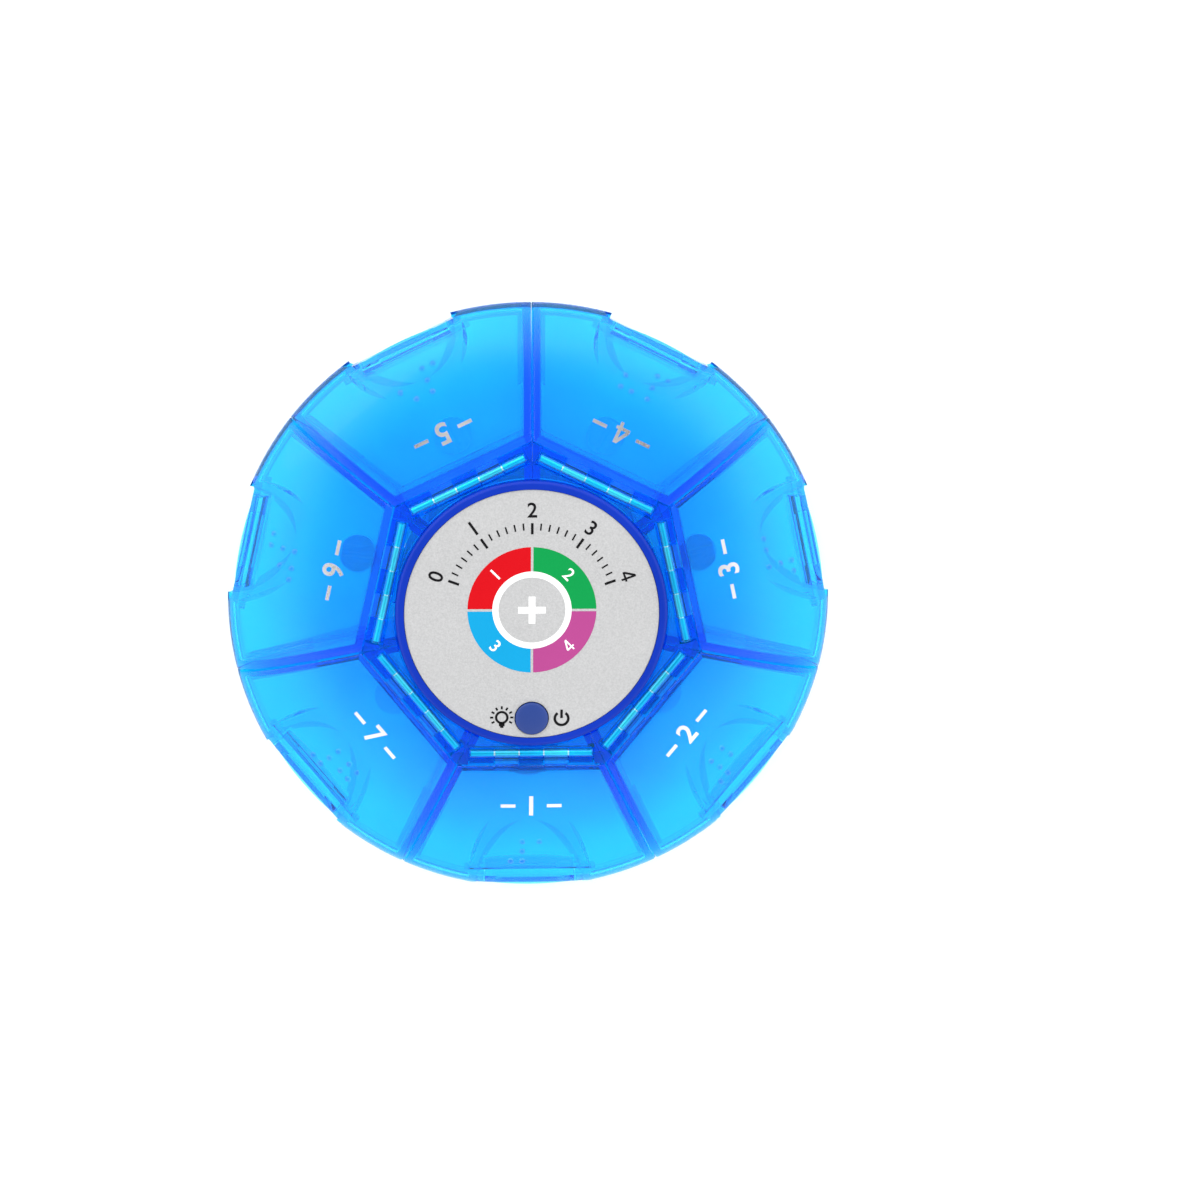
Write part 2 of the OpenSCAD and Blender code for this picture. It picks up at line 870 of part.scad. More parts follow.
// Leaf spring between the holder's floor and the cell's cap
module negative_contact() {
    top = board_z - holder_t;
    drop = top - cell_z - cell_t;
    foot = [4, 5];
    leaf = [6, 3];
    root = 0.5;
    lean = asin((drop - strip_t - fit_gap / 2) / leaf[0]);
    color("gold") {
        translate([-foot[0], -foot[1] / 2, top - strip_t])
            cube([foot[0], foot[1], strip_t]);
        translate([-root, 0, top - strip_t])
            rotate([0, lean, 0])
                translate([0, -leaf[1] / 2, 0])
                    cube([leaf[0], leaf[1], strip_t]);
    }
}

module lug_ring(r0, r1, z0, z1, width) {
    for (a = [0:120:240])
        rotate([0, 0, a - width / 2])
            translate([0, 0, z0])
                rotate_extrude(angle = width)
                    translate([r0, 0])
                        square([r1 - r0, z1 - z0]);
}

// Holes that let the buzzer's sound out
module sound_holes() {
    hole_r = 0.6;
    ring_r = 2.2;
    translate([-buzzer_at, 0, cover_z - over]) {
        cylinder(r = hole_r, h = cover_t + 2 * over);
        for (a = [0:60:300])
            rotate([0, 0, a])
                translate([ring_r, 0, 0])
                    cylinder(r = hole_r, h = cover_t + 2 * over);
    }
}

module back_cover() {
    opening_r = door_r + fit_gap;
    edge = 0.4;
    color("royalblue")
        difference() {
            translate([0, 0, cover_z])
                rotate_extrude()
                    polygon([[opening_r, 0], [cover_r - edge, 0], [cover_r, edge],
                        [cover_r, cover_t], [opening_r, cover_t]]);
            rotate([0, 0, door_turn])
                lug_ring(opening_r - over, door_r + lug_reach + fit_gap, cover_z - over,
                    cover_in + over, lug_deg + lug_slack);
            at_posts() {
                translate([0, 0, cover_z - over])
                    cylinder(r = head_r + fit_gap, h = head_h + over);
                translate([0, 0, cover_z])
                    cylinder(r = screw_r + fit_gap, h = cover_t + over);
            }
            sound_holes();
        }
}

module cover_screws() {
    color("silver")
        at_posts()
            translate([0, 0, cover_z + head_h])
                screw();
}

// Quarter-turn door with a coin slot, three lugs and a pad under the cell
module battery_door() {
    slot = [14, 1.8, 0.9];
    pad_r = 8;
    wall = 1;
    color("royalblue")
        difference() {
            union() {
                translate([0, 0, cover_z])
                    cylinder(r = door_r, h = lug_z + lug_t - cover_z);
                lug_ring(door_r - wall / 2, door_r + lug_reach, lug_z, lug_z + lug_t, lug_deg);
            }
            translate([0, 0, cover_z])
                cube([slot[0], slot[1], 2 * slot[2]], center = true);
            difference() {
                translate([0, 0, cover_in])
                    cylinder(r = door_r - wall, h = lug_z + lug_t);
                cylinder(r = pad_r, h = board_z);
            }
        }
}

pod(1);  // pod_1
pod(2);  // pod_2
pod(3);  // pod_3
pod(4);  // pod_4
pod(5);  // pod_5
pod(6);  // pod_6
pod(7);  // pod_7
lid(1);  // lid_1
lid(2);  // lid_2
lid(3);  // lid_3
lid(4);  // lid_4
lid(5);  // lid_5
lid(6);  // lid_6
lid(7);  // lid_7
hinge_pin(1);  // hinge_pin_1
hinge_pin(2);  // hinge_pin_2
hinge_pin(3);  // hinge_pin_3
hinge_pin(4);  // hinge_pin_4
hinge_pin(5);  // hinge_pin_5
hinge_pin(6);  // hinge_pin_6
hinge_pin(7);  // hinge_pin_7
foot(1);  // foot_1
foot(2);  // foot_2
foot(3);  // foot_3
foot(4);  // foot_4
foot(5);  // foot_5
foot(6);  // foot_6
foot(7);  // foot_7
hub_housing();
face_label();
timer_button();
light_baffle();
status_lamps();
circuit_board();
push_switch();
switch_plunger();
timer_chip();
buzzer();
board_screws();
battery_holder();
coin_cell();
positive_contact();
negative_contact();
back_cover();
cover_screws();
battery_door();
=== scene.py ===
import math

import bmesh
import bpy
from mathutils import Matrix, Vector


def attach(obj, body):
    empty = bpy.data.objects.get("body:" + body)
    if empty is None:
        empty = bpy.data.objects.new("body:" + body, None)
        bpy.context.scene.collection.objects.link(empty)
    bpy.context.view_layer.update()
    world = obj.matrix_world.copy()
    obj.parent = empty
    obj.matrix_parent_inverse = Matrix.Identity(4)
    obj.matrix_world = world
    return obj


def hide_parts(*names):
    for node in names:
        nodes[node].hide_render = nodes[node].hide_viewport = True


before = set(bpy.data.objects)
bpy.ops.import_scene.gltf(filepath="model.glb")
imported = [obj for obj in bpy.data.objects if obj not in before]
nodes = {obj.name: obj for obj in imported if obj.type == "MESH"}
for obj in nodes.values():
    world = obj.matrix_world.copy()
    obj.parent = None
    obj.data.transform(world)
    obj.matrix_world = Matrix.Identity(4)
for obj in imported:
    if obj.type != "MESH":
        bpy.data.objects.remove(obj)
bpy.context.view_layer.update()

# Hub housing
# The drum in the middle is one injection-moulded cup in deep royal blue, open to the back, with a
# rounded bezel round the face label. Screw posts and light windows are part of the moulding.
HOUSING_BLUE = (0.004, 0.03, 0.38, 1.0)
GRAIN_DEPTH = 0.0001
ROUGH_SHARE = 0.4


def new_group(name, inputs, outputs):
    """An empty shader node group with the named sockets, and its input and output nodes."""
    group = bpy.data.node_groups.new(name, "ShaderNodeTree")
    for label, kind, value in inputs:
        socket = group.interface.new_socket(label, in_out="INPUT", socket_type=kind)
        socket.default_value = value
    for label, kind in outputs:
        group.interface.new_socket(label, in_out="OUTPUT", socket_type=kind)
    return group, group.nodes.new("NodeGroupInput"), group.nodes.new("NodeGroupOutput")


def add(tree, kind, settings=None, **sockets):
    """A node in a tree, with plain settings, and numbers or links on its sockets. A socket is named, or
    goes by its place, as in i0 for the first."""
    node = tree.nodes.new(kind)
    for key, value in (settings or {}).items():
        setattr(node, key, value)
    for key, value in sockets.items():
        place = int(key[1:]) if key[0] == "i" and key[1:].isdigit() else key.replace("_", " ")
        if isinstance(value, bpy.types.NodeSocket):
            tree.links.new(value, node.inputs[place])
        else:
            node.inputs[place].default_value = value
    return node


def moulded_surface():
    """Faint flow marks and a fine skin, as on moulded plastic: a colour, a roughness and a normal. The
    roughness follows the marks by ROUGH_SHARE."""
    number, colour = "NodeSocketFloat", "NodeSocketColor"
    group, given, out = new_group(
        "MouldedSurface",
        [("Colour", colour, (0.5, 0.5, 0.5, 1.0)), ("Marks", number, 0.1), ("Roughness", number, 0.3),
         ("Grain size", number, 900.0), ("Grain height", number, 0.05)],
        [("Colour", colour), ("Roughness", number), ("Normal", "NodeSocketVector")])
    place = add(group, "ShaderNodeTexCoord").outputs["Object"]
    flow = add(group, "ShaderNodeTexNoise", {"noise_dimensions": "3D"}, Vector=place, Scale=45.0,
               Detail=3.0, Roughness=0.55, Distortion=0.6)
    grain = add(group, "ShaderNodeTexNoise", {"noise_dimensions": "3D"}, Vector=place,
                Scale=given.outputs["Grain size"], Detail=4.0, Roughness=0.6)
    spread = add(group, "ShaderNodeMapRange", None, Value=flow.outputs["Fac"], From_Min=0.3,
                 From_Max=0.7, To_Min=-1.0, To_Max=1.0)
    swing = add(group, "ShaderNodeMath", {"operation": "MULTIPLY"}, i0=spread.outputs["Result"],
                i1=given.outputs["Marks"])
    bright = add(group, "ShaderNodeMath", {"operation": "ADD"}, i0=swing.outputs[0], i1=1.0)
    tone = add(group, "ShaderNodeHueSaturation", None, Value=bright.outputs[0],
               Color=given.outputs["Colour"])
    worn = add(group, "ShaderNodeMath", {"operation": "MULTIPLY_ADD"}, i0=swing.outputs[0],
               i1=ROUGH_SHARE, i2=given.outputs["Roughness"])
    bump = add(group, "ShaderNodeBump", None, Strength=given.outputs["Grain height"],
               Distance=GRAIN_DEPTH, Height=grain.outputs["Fac"])
    group.links.new(tone.outputs["Color"], out.inputs["Colour"])
    group.links.new(worn.outputs[0], out.inputs["Roughness"])
    group.links.new(bump.outputs["Normal"], out.inputs["Normal"])
    return group


MOULDED = moulded_surface()


def new_material(name):
    """A material with an empty node tree but for its output."""
    material = bpy.data.materials.new(name)
    material.use_nodes = True
    tree = material.node_tree
    tree.nodes.clear()
    return material, tree, tree.nodes.new("ShaderNodeOutputMaterial")


def moulded_plastic(name, colour, marks=0.08, roughness=0.3, grain=900.0, height=0.05, shine=0.5):
    """Opaque moulded plastic, or paint and print with the same fine skin."""
    material, tree, out = new_material(name)
    skin = add(tree, "ShaderNodeGroup", {"node_tree": MOULDED}, Colour=colour, Marks=marks,
               Roughness=roughness, Grain_size=grain, Grain_height=height)
    shader = add(tree, "ShaderNodeBsdfPrincipled", None, Base_Color=skin.outputs["Colour"],
                 Roughness=skin.outputs["Roughness"], Normal=skin.outputs["Normal"])
    shader.inputs["Specular IOR Level"].default_value = shine
    tree.links.new(shader.outputs["BSDF"], out.inputs["Surface"])
    return material


def dress(material, *names):
    """Gives CAD nodes that keep their shape a better material."""
    for name in names:
        for place in nodes[name].material_slots:
            place.material = material


dress(moulded_plastic("HousingBlue", HOUSING_BLUE, roughness=0.3, height=0.03, shine=0.15),
      "hub_housing")

# Electronics
# Behind the face are a white light baffle with four lamps, a round green board held by three screws,
# and on it the push switch, the timer chip and the buzzer.
dress(moulded_plastic("BaffleWhite", (0.86, 0.86, 0.84, 1.0), roughness=0.55), "light_baffle")
dress(moulded_plastic("LampEpoxy", (0.93, 0.88, 0.62, 1.0), marks=0.15, roughness=0.12), "status_lamps")
dress(moulded_plastic("SwitchBlack", (0.02, 0.02, 0.022, 1.0), roughness=0.45, grain=2500.0,
                      height=0.2), "push_switch", "switch_plunger", "buzzer")
dress(moulded_plastic("ChipEpoxy", (0.03, 0.03, 0.032, 1.0), roughness=0.6, grain=4000.0,
                      height=0.3), "timer_chip")


def solder_mask():
    """Green solder mask over copper tracks, which show as paler lines."""
    material, tree, out = new_material("SolderMask")
    place = add(tree, "ShaderNodeTexCoord").outputs["Object"]
    tracks = add(tree, "ShaderNodeTexBrick", {"offset": 0.37, "squash": 1.6}, Vector=place, Scale=160.0,
                 Mortar_Size=0.05, Color1=(0.008, 0.11, 0.035, 1.0), Color2=(0.006, 0.085, 0.03, 1.0),
                 Mortar=(0.05, 0.26, 0.09, 1.0))
    skin = add(tree, "ShaderNodeGroup", {"node_tree": MOULDED}, Colour=tracks.outputs["Color"],
               Marks=0.12, Roughness=0.3, Grain_size=1500.0, Grain_height=0.1)
    shader = add(tree, "ShaderNodeBsdfPrincipled", None, Base_Color=skin.outputs["Colour"],
                 Roughness=skin.outputs["Roughness"], Normal=skin.outputs["Normal"])
    tree.links.new(shader.outputs["BSDF"], out.inputs["Surface"])
    return material


dress(solder_mask(), "circuit_board")
SCRATCH_SHARE = 0.18


def brushed_metal(name, colour, roughness, scratches=0.25):
    """Plated or drawn metal with a little tarnish, and fine scratches that also roughen it by
    SCRATCH_SHARE."""
    material, tree, out = new_material(name)
    place = add(tree, "ShaderNodeTexCoord").outputs["Object"]
    lines = add(tree, "ShaderNodeTexNoise", {"noise_dimensions": "3D"}, Vector=place, Scale=2200.0,
                Detail=5.0, Roughness=0.7, Distortion=0.3)
    skin = add(tree, "ShaderNodeGroup", {"node_tree": MOULDED}, Colour=colour, Marks=0.14,
               Roughness=roughness, Grain_size=3000.0, Grain_height=scratches)
    wear = add(tree, "ShaderNodeMath", {"operation": "MULTIPLY_ADD"}, i0=lines.outputs["Fac"],
               i1=SCRATCH_SHARE, i2=skin.outputs["Roughness"])
    shader = add(tree, "ShaderNodeBsdfPrincipled", None, Base_Color=skin.outputs["Colour"], Metallic=1.0,
                 Roughness=wear.outputs[0], Normal=skin.outputs["Normal"])
    tree.links.new(shader.outputs["BSDF"], out.inputs["Surface"])
    return material


dress(brushed_metal("ScrewZinc", (0.72, 0.73, 0.75, 1.0), 0.22), "board_screws", "cover_screws")

# Battery
# A coin cell sits in a white holder between a brass side contact and a brass leaf spring.
dress(moulded_plastic("HolderWhite", (0.82, 0.82, 0.8, 1.0), roughness=0.5), "battery_holder")
dress(brushed_metal("CellNickel", (0.66, 0.66, 0.66, 1.0), 0.18), "coin_cell")
dress(brushed_metal("ContactBrass", (0.83, 0.62, 0.28, 1.0), 0.25), "positive_contact", "negative_contact")

# Back cover and battery door
# Both are moulded in the housing's royal blue. The cover is screwed on, and the door turns by a coin.
dress(moulded_plastic("CoverBlue", (0.02, 0.095, 0.66, 1.0), roughness=0.24, grain=1400.0, height=0.12),
      "back_cover", "battery_door")

# Pods
# Each pod is a tray moulded in translucent royal blue, with thin walls, a lip that centres the lid, a
# catch in a recess of the rim, and knuckles and top plates next to the hub. It plugs into the drum.
MM = 0.001
DAYS = 7
HALF = math.pi / DAYS
RIM_R = 65.0
PARTING_Z = 12.5
CROWN_H = 12.0
CROWN_CURVE = 3
BASE_DEPTH = 11.5
BASE_CURVE = 1.54
BACK_Z = 1.0
FLAT_R = 42.0
WALL_T = 1.5
# Half the gap between neighbours. The pods' outsides stand closer, so that no light shows between them.
SIDE = 0.2
POD_SIDE = 0.05
# The pods are built a little too long towards the hub, and then cut round at DOCK_R.
DOCK_R = 29.25
DOCK_SPARE = 0.6
BORE_R = 27.4
WALL_X1 = 33.2
WALL_X0 = WALL_X1 - WALL_T
HINGE_X = 30.9
HINGE_DEEP = 1.45
HINGE_Z = PARTING_Z + CROWN_H * math.sqrt(1 - (HINGE_X / RIM_R) ** CROWN_CURVE) - HINGE_DEEP
HINGE_HALF = 13.3
KNUCKLE_R = 1.3
KNUCKLE_GAP = 0.3
PIN_R = 0.75
PIN_PRESS = 0.025
MID_KNUCKLE = 2.5
LID_KNUCKLE_W = 5.0
KNUCKLE_FOOT = 1.0
TONGUE_IN = 1.3
TONGUE_HALF = 6.0
TONGUE_LOW = 12.6
TONGUE_HIGH = 15.0
LIP_X0 = WALL_X1 + 10.8
LIP_OPEN = 4.0
LIP_GAP = 0.35
LIP_T = 0.8
LIP_H = 1.2
FLAT_X = 62.8
TAB_T = 1.55
TAB_W = 19.8
TAB_DROP = 5.8
TAB_LEAN = math.radians(18)
LATCH_GAP = 0.25
CATCH_W = 11.8
CATCH_H = 1.0
CATCH_DROP = 2.8
CATCH_REACH = 1.6
RECESS_W = 23.7
RECESS_EDGE_R = 12.5
RECESS_DEEP = 9.6
SCOOP_R = 60.0
SCOOP_AT = (96.64, -37.9)
POD_EDGE_R = 0.6
TRAY_EDGE_R = 1.0
# Tools run past the piece that they cut, and pieces to be joined run into each other. Points this
# close together are one point, in millimetres while a solid is built and in metres once it is done.
FAR = 130.0
ABOVE = 30.0
OVERLAP = 0.01
WELD_MM = 1e-5
WELD_M = 2e-6


def crown_z(r, rim=RIM_R, height=CROWN_H):
    """Height of the lids' crown at a distance from the hub's axis."""
    return PARTING_Z + height * math.sqrt(max(0.0, 1 - (r / rim) ** CROWN_CURVE))


def new_solid(name, points, faces):
    """A closed mesh, in millimetres until it is finished, with its faces turned outwards."""
    mesh = bpy.data.meshes.new(name)
    mesh.from_pydata(points, [], faces)
    shape = bmesh.new()
    shape.from_mesh(mesh)
    bmesh.ops.remove_doubles(shape, verts=shape.verts, dist=WELD_MM)
    bmesh.ops.recalc_face_normals(shape, faces=shape.faces)
    shape.to_mesh(mesh)
    shape.free()
    solid = bpy.data.objects.new(name, mesh)
    bpy.context.scene.collection.objects.link(solid)
    return solid


def prism(outline, low, high, place=lambda u, v, w: (u, v, w)):
    """An outline pushed from low to high. place turns (u, v, w) into a point, with w along the push."""
    count = len(outline)
    points = [place(u, v, w) for w in (low, high) for u, v in outline]
    faces = [list(range(count)), list(range(2 * count - 1, count - 1, -1))]
    faces += [[i, (i + 1) % count, count + (i + 1) % count, count + i] for i in range(count)]
    return new_solid("prism", points, faces)


def block(x0, x1, y0, y1, z0, z1):
    """A box between these planes."""
    return prism([(x0, y0), (x1, y0), (x1, y1), (x0, y1)], z0, z1)


def circle(radius, steps, u0=0.0, v0=0.0):
    """The points of a circle about u0, v0."""
    return [(u0 + radius * math.cos(math.tau * i / steps), v0 + radius * math.sin(math.tau * i / steps))
            for i in range(steps)]


def across(u, v, w):
    """Puts an outline in x and z, and its push along y."""
    return (u, w, v)


def outward(u, v, w):
    """Puts an outline in y and z above the parting line, and its push along x."""
    return (w, u, PARTING_Z + v)


def at_latch(u, v, w):
    """Puts an outline in y and z in the tab's leaning frame, and its push through the tab."""
    return (FLAT_X + w * math.cos(TAB_LEAN) + v * math.sin(TAB_LEAN), u,
            PARTING_Z - w * math.sin(TAB_LEAN) + v * math.cos(TAB_LEAN))


def carve(solid, tool, how="DIFFERENCE"):
    """Cuts the tool from a solid, joins it on, or keeps what they share, and drops the tool."""
    step = solid.modifiers.new("carve", "BOOLEAN")
    step.operation, step.solver, step.object = how, "EXACT", tool
    graph = bpy.context.evaluated_depsgraph_get()
    made = bpy.data.meshes.new_from_object(solid.evaluated_get(graph))
    solid.modifiers.clear()
    solid.data = made
    bpy.data.objects.remove(tool)
    return solid


def fan_solid(inset, section, lines=28, rounded=(), radius=0.0):
    """A solid over one slice. section gives its outline along a line from the slice's tip, at an angle:
    always as many points, each the distance from the tip and the height. The long edges named in
    rounded, by the point's place in the outline, are rounded where they meet the slice's two sides."""
    tip = inset / math.sin(HALF)
    shape = bmesh.new()
    grid = []
    for j in range(lines + 1):
        turn = HALF * (2 * j / lines - 1)
        grid.append([shape.verts.new((tip + d * math.cos(turn), d * math.sin(turn), z))
                     for d, z in section(tip, turn)])
    count = len(grid[0])
    for a, b in zip(grid, grid[1:]):
        for k in range(count):
            n = (k + 1) % count
            shape.faces.new((a[k], a[n], b[n], b[k]))
    shape.faces.new(grid[0][::-1])
    shape.faces.new(grid[-1])
    bmesh.ops.recalc_face_normals(shape, faces=shape.faces)
    edges = []
    for k, whole_line in rounded:
        if whole_line:
            edges += [shape.edges.get((a[k], b[k])) for a, b in zip(grid, grid[1:])]
        else:
            edges += [shape.edges.get((row[k], row[(k + 1) % count])) for row in (grid[0], grid[-1])]
    if edges:
        bmesh.ops.bevel(shape, geom=edges, offset=radius, segments=3, profile=0.5, affect="EDGES",
                        clamp_overlap=True)
    mesh = bpy.data.meshes.new("fan")
    shape.to_mesh(mesh)
    shape.free()
    solid = bpy.data.objects.new("fan", mesh)
    bpy.context.scene.collection.objects.link(solid)
    return solid


def along(tip, turn, r):
    """Distance from the slice's tip, along a line at this angle, to the circle of radius r."""
    return -tip * math.cos(turn) + math.sqrt(r * r - (tip * math.sin(turn)) ** 2)


def distance(tip, turn, d):
    """Distance from the hub's axis of a point on such a line."""
    return math.hypot(tip + d * math.cos(turn), d * math.sin(turn))


PROFILE_STEPS = 30


def base_rows(tip, turn, rim, depth, first):
    """Points of the pods' back, from the first distance out to the rim."""
    rows = []
    for i in range(PROFILE_STEPS + 1):
        a = math.pi / 2 * i / PROFILE_STEPS
        r = max(FLAT_R + (rim - FLAT_R) * math.sin(a), first)
        rows.append((along(tip, turn, r), PARTING_Z - depth * max(math.cos(a), 0.0) ** BASE_CURVE))
    return rows


def pod_outline(tip, turn):
    """The pod's outside: back, rim, parting line, and the tall part next to the hub."""
    chord = (WALL_X1 - tip) / math.cos(turn)
    dock = along(tip, turn, DOCK_R - DOCK_SPARE)
    top = [(d, crown_z(distance(tip, turn, d))) for d in (chord, (chord + dock) / 2, dock)]
    back = base_rows(tip, turn, RIM_R, BASE_DEPTH, FLAT_R)
    return [(dock, BACK_Z)] + back + [(chord, PARTING_Z)] + top


def pod_hollow(tip, turn):
    """The tray's inside, from its inner wall out to the rim, and open past the parting line."""
    chord = (WALL_X1 - tip) / math.cos(turn)
    past = PARTING_Z + 2.0
    rows = base_rows(tip, turn, RIM_R - WALL_T, BASE_DEPTH - WALL_T, FLAT_R)
    return [(chord, BACK_Z + WALL_T)] + rows + [(rows[-1][0], past), (chord, past)]


def back_hollow(tip, turn):
    """The room between the inner wall and the hub, under the top plates."""
    chord = (WALL_X0 - tip) / math.cos(turn)
    dock = along(tip, turn, DOCK_R - 2 * DOCK_SPARE)
    tops = [(d, crown_z(distance(tip, turn, d), RIM_R, CROWN_H - WALL_T)) for d in (chord, dock)]
    return [(dock, BACK_Z + WALL_T), (chord, BACK_Z + WALL_T)] + tops


def dish(grow):
    """Recess in the rim and hollow under the tab, with end walls and a round lower edge."""
    wide = RECESS_W / 2 + grow
    low, high = -BASE_DEPTH, 1.0
    tool = prism([(-wide, low), (wide, low), (wide, high), (-wide, high)], FLAT_R, FAR, outward)
    edge = circle(RECESS_EDGE_R + grow, 96, 0.0, RECESS_EDGE_R - RECESS_DEEP)
    carve(tool, prism(edge, FLAT_R - 1, FAR + 1, outward), "INTERSECT")
    hollow = prism(circle(SCOOP_R + grow, 360, *SCOOP_AT), -FAR / 2, FAR / 2, across)
    carve(hollow, block(FLAT_X - grow, FAR + 2, -RIM_R, RIM_R, BACK_Z, ABOVE), "UNION")
    return carve(tool, hollow, "INTERSECT")


def bar(radius, y0, y1, steps=40):
    """A round bar on the hinge's axis."""
    return prism(circle(radius, steps, HINGE_X, HINGE_Z), y0, y1, across)


def latch_block(w0, w1, wide, low, high):
    """A box in the tab's leaning frame, from w0 to w1 through the tab."""
    return prism([(-wide, low), (wide, low), (wide, high), (-wide, high)], w0, w1, at_latch)


def lip_plan(x0, inset):
    """Plan inside the lid's skirts and behind its recess, from x0 outwards."""
    steps = 12
    pocket_x = FLAT_X - TAB_T - 2 * LATCH_GAP
    notch = RECESS_W / 2 + WALL_T + inset
    r = RIM_R - WALL_T - inset
    tip = (SIDE + WALL_T + inset) / math.sin(HALF)
    corner = (x0 - tip) * math.tan(HALF)
    end = along(tip, HALF, r)
    angle = math.atan2(end * math.sin(HALF), tip + end * math.cos(HALF))
    notch_angle = math.asin(notch / r)
    arc = [angle + (notch_angle - angle) * i / steps for i in range(steps + 1)]
    upper = [(r * math.cos(a), r * math.sin(a)) for a in arc] + [(pocket_x - inset, notch)]
    lower = [(x, -y) for x, y in reversed(upper)]
    return [(x0, -corner), (x0, corner)] + upper + lower


def pod_lip():
    """The lip along the sides and the rim, which is open towards the hinge."""
    half_steps, past = 12, 3.0
    tool = prism(lip_plan(LIP_X0, LIP_GAP), PARTING_Z - OVERLAP, PARTING_Z + LIP_H)
    tip = (SIDE + WALL_T) / math.sin(HALF)
    r = RIM_R - WALL_T
    end = along(tip, HALF, r)
    angle = math.atan2(end * math.sin(HALF), tip + end * math.cos(HALF)) + OVERLAP / r
    corner = (LIP_X0 - tip) * math.tan(HALF)
    arc = [angle * (1 - i / half_steps) for i in range(2 * half_steps + 1)]
    plan = [(LIP_X0, corner)] + [(r * math.cos(a), r * math.sin(a)) for a in arc] + [(LIP_X0, -corner)]
    carve(tool, prism(plan, PARTING_Z - LIP_H, PARTING_Z), "UNION")
    inner = lip_plan(LIP_X0 - LIP_OPEN, LIP_GAP + LIP_T)
    return carve(tool, prism(inner, PARTING_Z - past, PARTING_Z + past))


def finish_solid(solid, name, material, soft_angle=32.0):
    """Brings a solid to metres, smooths what is round, and gives it its name and material."""
    mesh = solid.data
    mesh.transform(Matrix.Scale(MM, 4))
    shape = bmesh.new()
    shape.from_mesh(mesh)
    bmesh.ops.remove_doubles(shape, verts=shape.verts, dist=WELD_M)
    bmesh.ops.dissolve_degenerate(shape, edges=shape.edges, dist=WELD_M)
    shape.to_mesh(mesh)
    shape.free()
    mesh.shade_smooth()
    mesh.set_sharp_from_angle(angle=math.radians(soft_angle))
    mesh.name = solid.name = name
    mesh.materials.clear()
    mesh.materials.append(material)
    return solid


def clear_plastic(name, tint, taken, density, clear, roughness, coat=0.8, dot_painted_shade=None):
    """Translucent moulded plastic: it takes up light with depth, and lets lamps shine through. Where the
    mesh has an attribute dot, its raised dots are glossier and darker towards their tops, by a colour of
    painted shade that stands in for the darker middle that light bending through a clear dome gives."""
    dot_coat = 0.8
    material, tree, out = new_material(name)
    skin = add(tree, "ShaderNodeGroup", {"node_tree": MOULDED}, Colour=tint, Marks=0.03,
               Roughness=roughness, Grain_size=700.0, Grain_height=0.004)
    shader = add(tree, "ShaderNodeBsdfPrincipled", None, Base_Color=skin.outputs["Colour"], IOR=1.15,
                 Roughness=skin.outputs["Roughness"], Normal=skin.outputs["Normal"])
    shader.inputs["Specular IOR Level"].default_value = 0.3
    shader.inputs["Transmission Weight"].default_value = clear
    shader.inputs["Coat Weight"].default_value = coat
    if dot_painted_shade:
        dome = add(tree, "ShaderNodeAttribute", {"attribute_name": "dot"}).outputs["Fac"]
        # The dots' tops take a darker blue: painted shade for the darker middle of a clear dome, not a
        # colour of the plastic.
        tone = add(tree, "ShaderNodeMix", {"data_type": "RGBA"}, i0=dome, i6=skin.outputs["Colour"],
                   i7=dot_painted_shade)
        tree.links.new(tone.outputs[2], shader.inputs["Base Color"])
        gloss = add(tree, "ShaderNodeMapRange", None, Value=dome, From_Min=0.0, From_Max=0.1,
                    To_Min=coat, To_Max=dot_coat)
        tree.links.new(gloss.outputs["Result"], shader.inputs["Coat Weight"])
    shader.inputs["Coat Roughness"].default_value = 0.05
    path = add(tree, "ShaderNodeLightPath")
    through = add(tree, "ShaderNodeBsdfTransparent", None, Color=(1.0, 1.0, 1.0, 1.0))
    both = add(tree, "ShaderNodeMixShader", None, Fac=path.outputs["Is Shadow Ray"],
               i1=shader.outputs["BSDF"], i2=through.outputs["BSDF"])
    depth = add(tree, "ShaderNodeVolumeAbsorption", None, Color=taken, Density=density)
    tree.links.new(both.outputs["Shader"], out.inputs["Surface"])
    tree.links.new(depth.outputs["Volume"], out.inputs["Volume"])
    return material


POD_BLUE = clear_plastic("PodBlue", (0.06, 0.78, 1.0, 1.0), (0.0, 0.83, 0.995, 1.0), 600.0, clear=0.96,
                         roughness=0.05, coat=0.2)


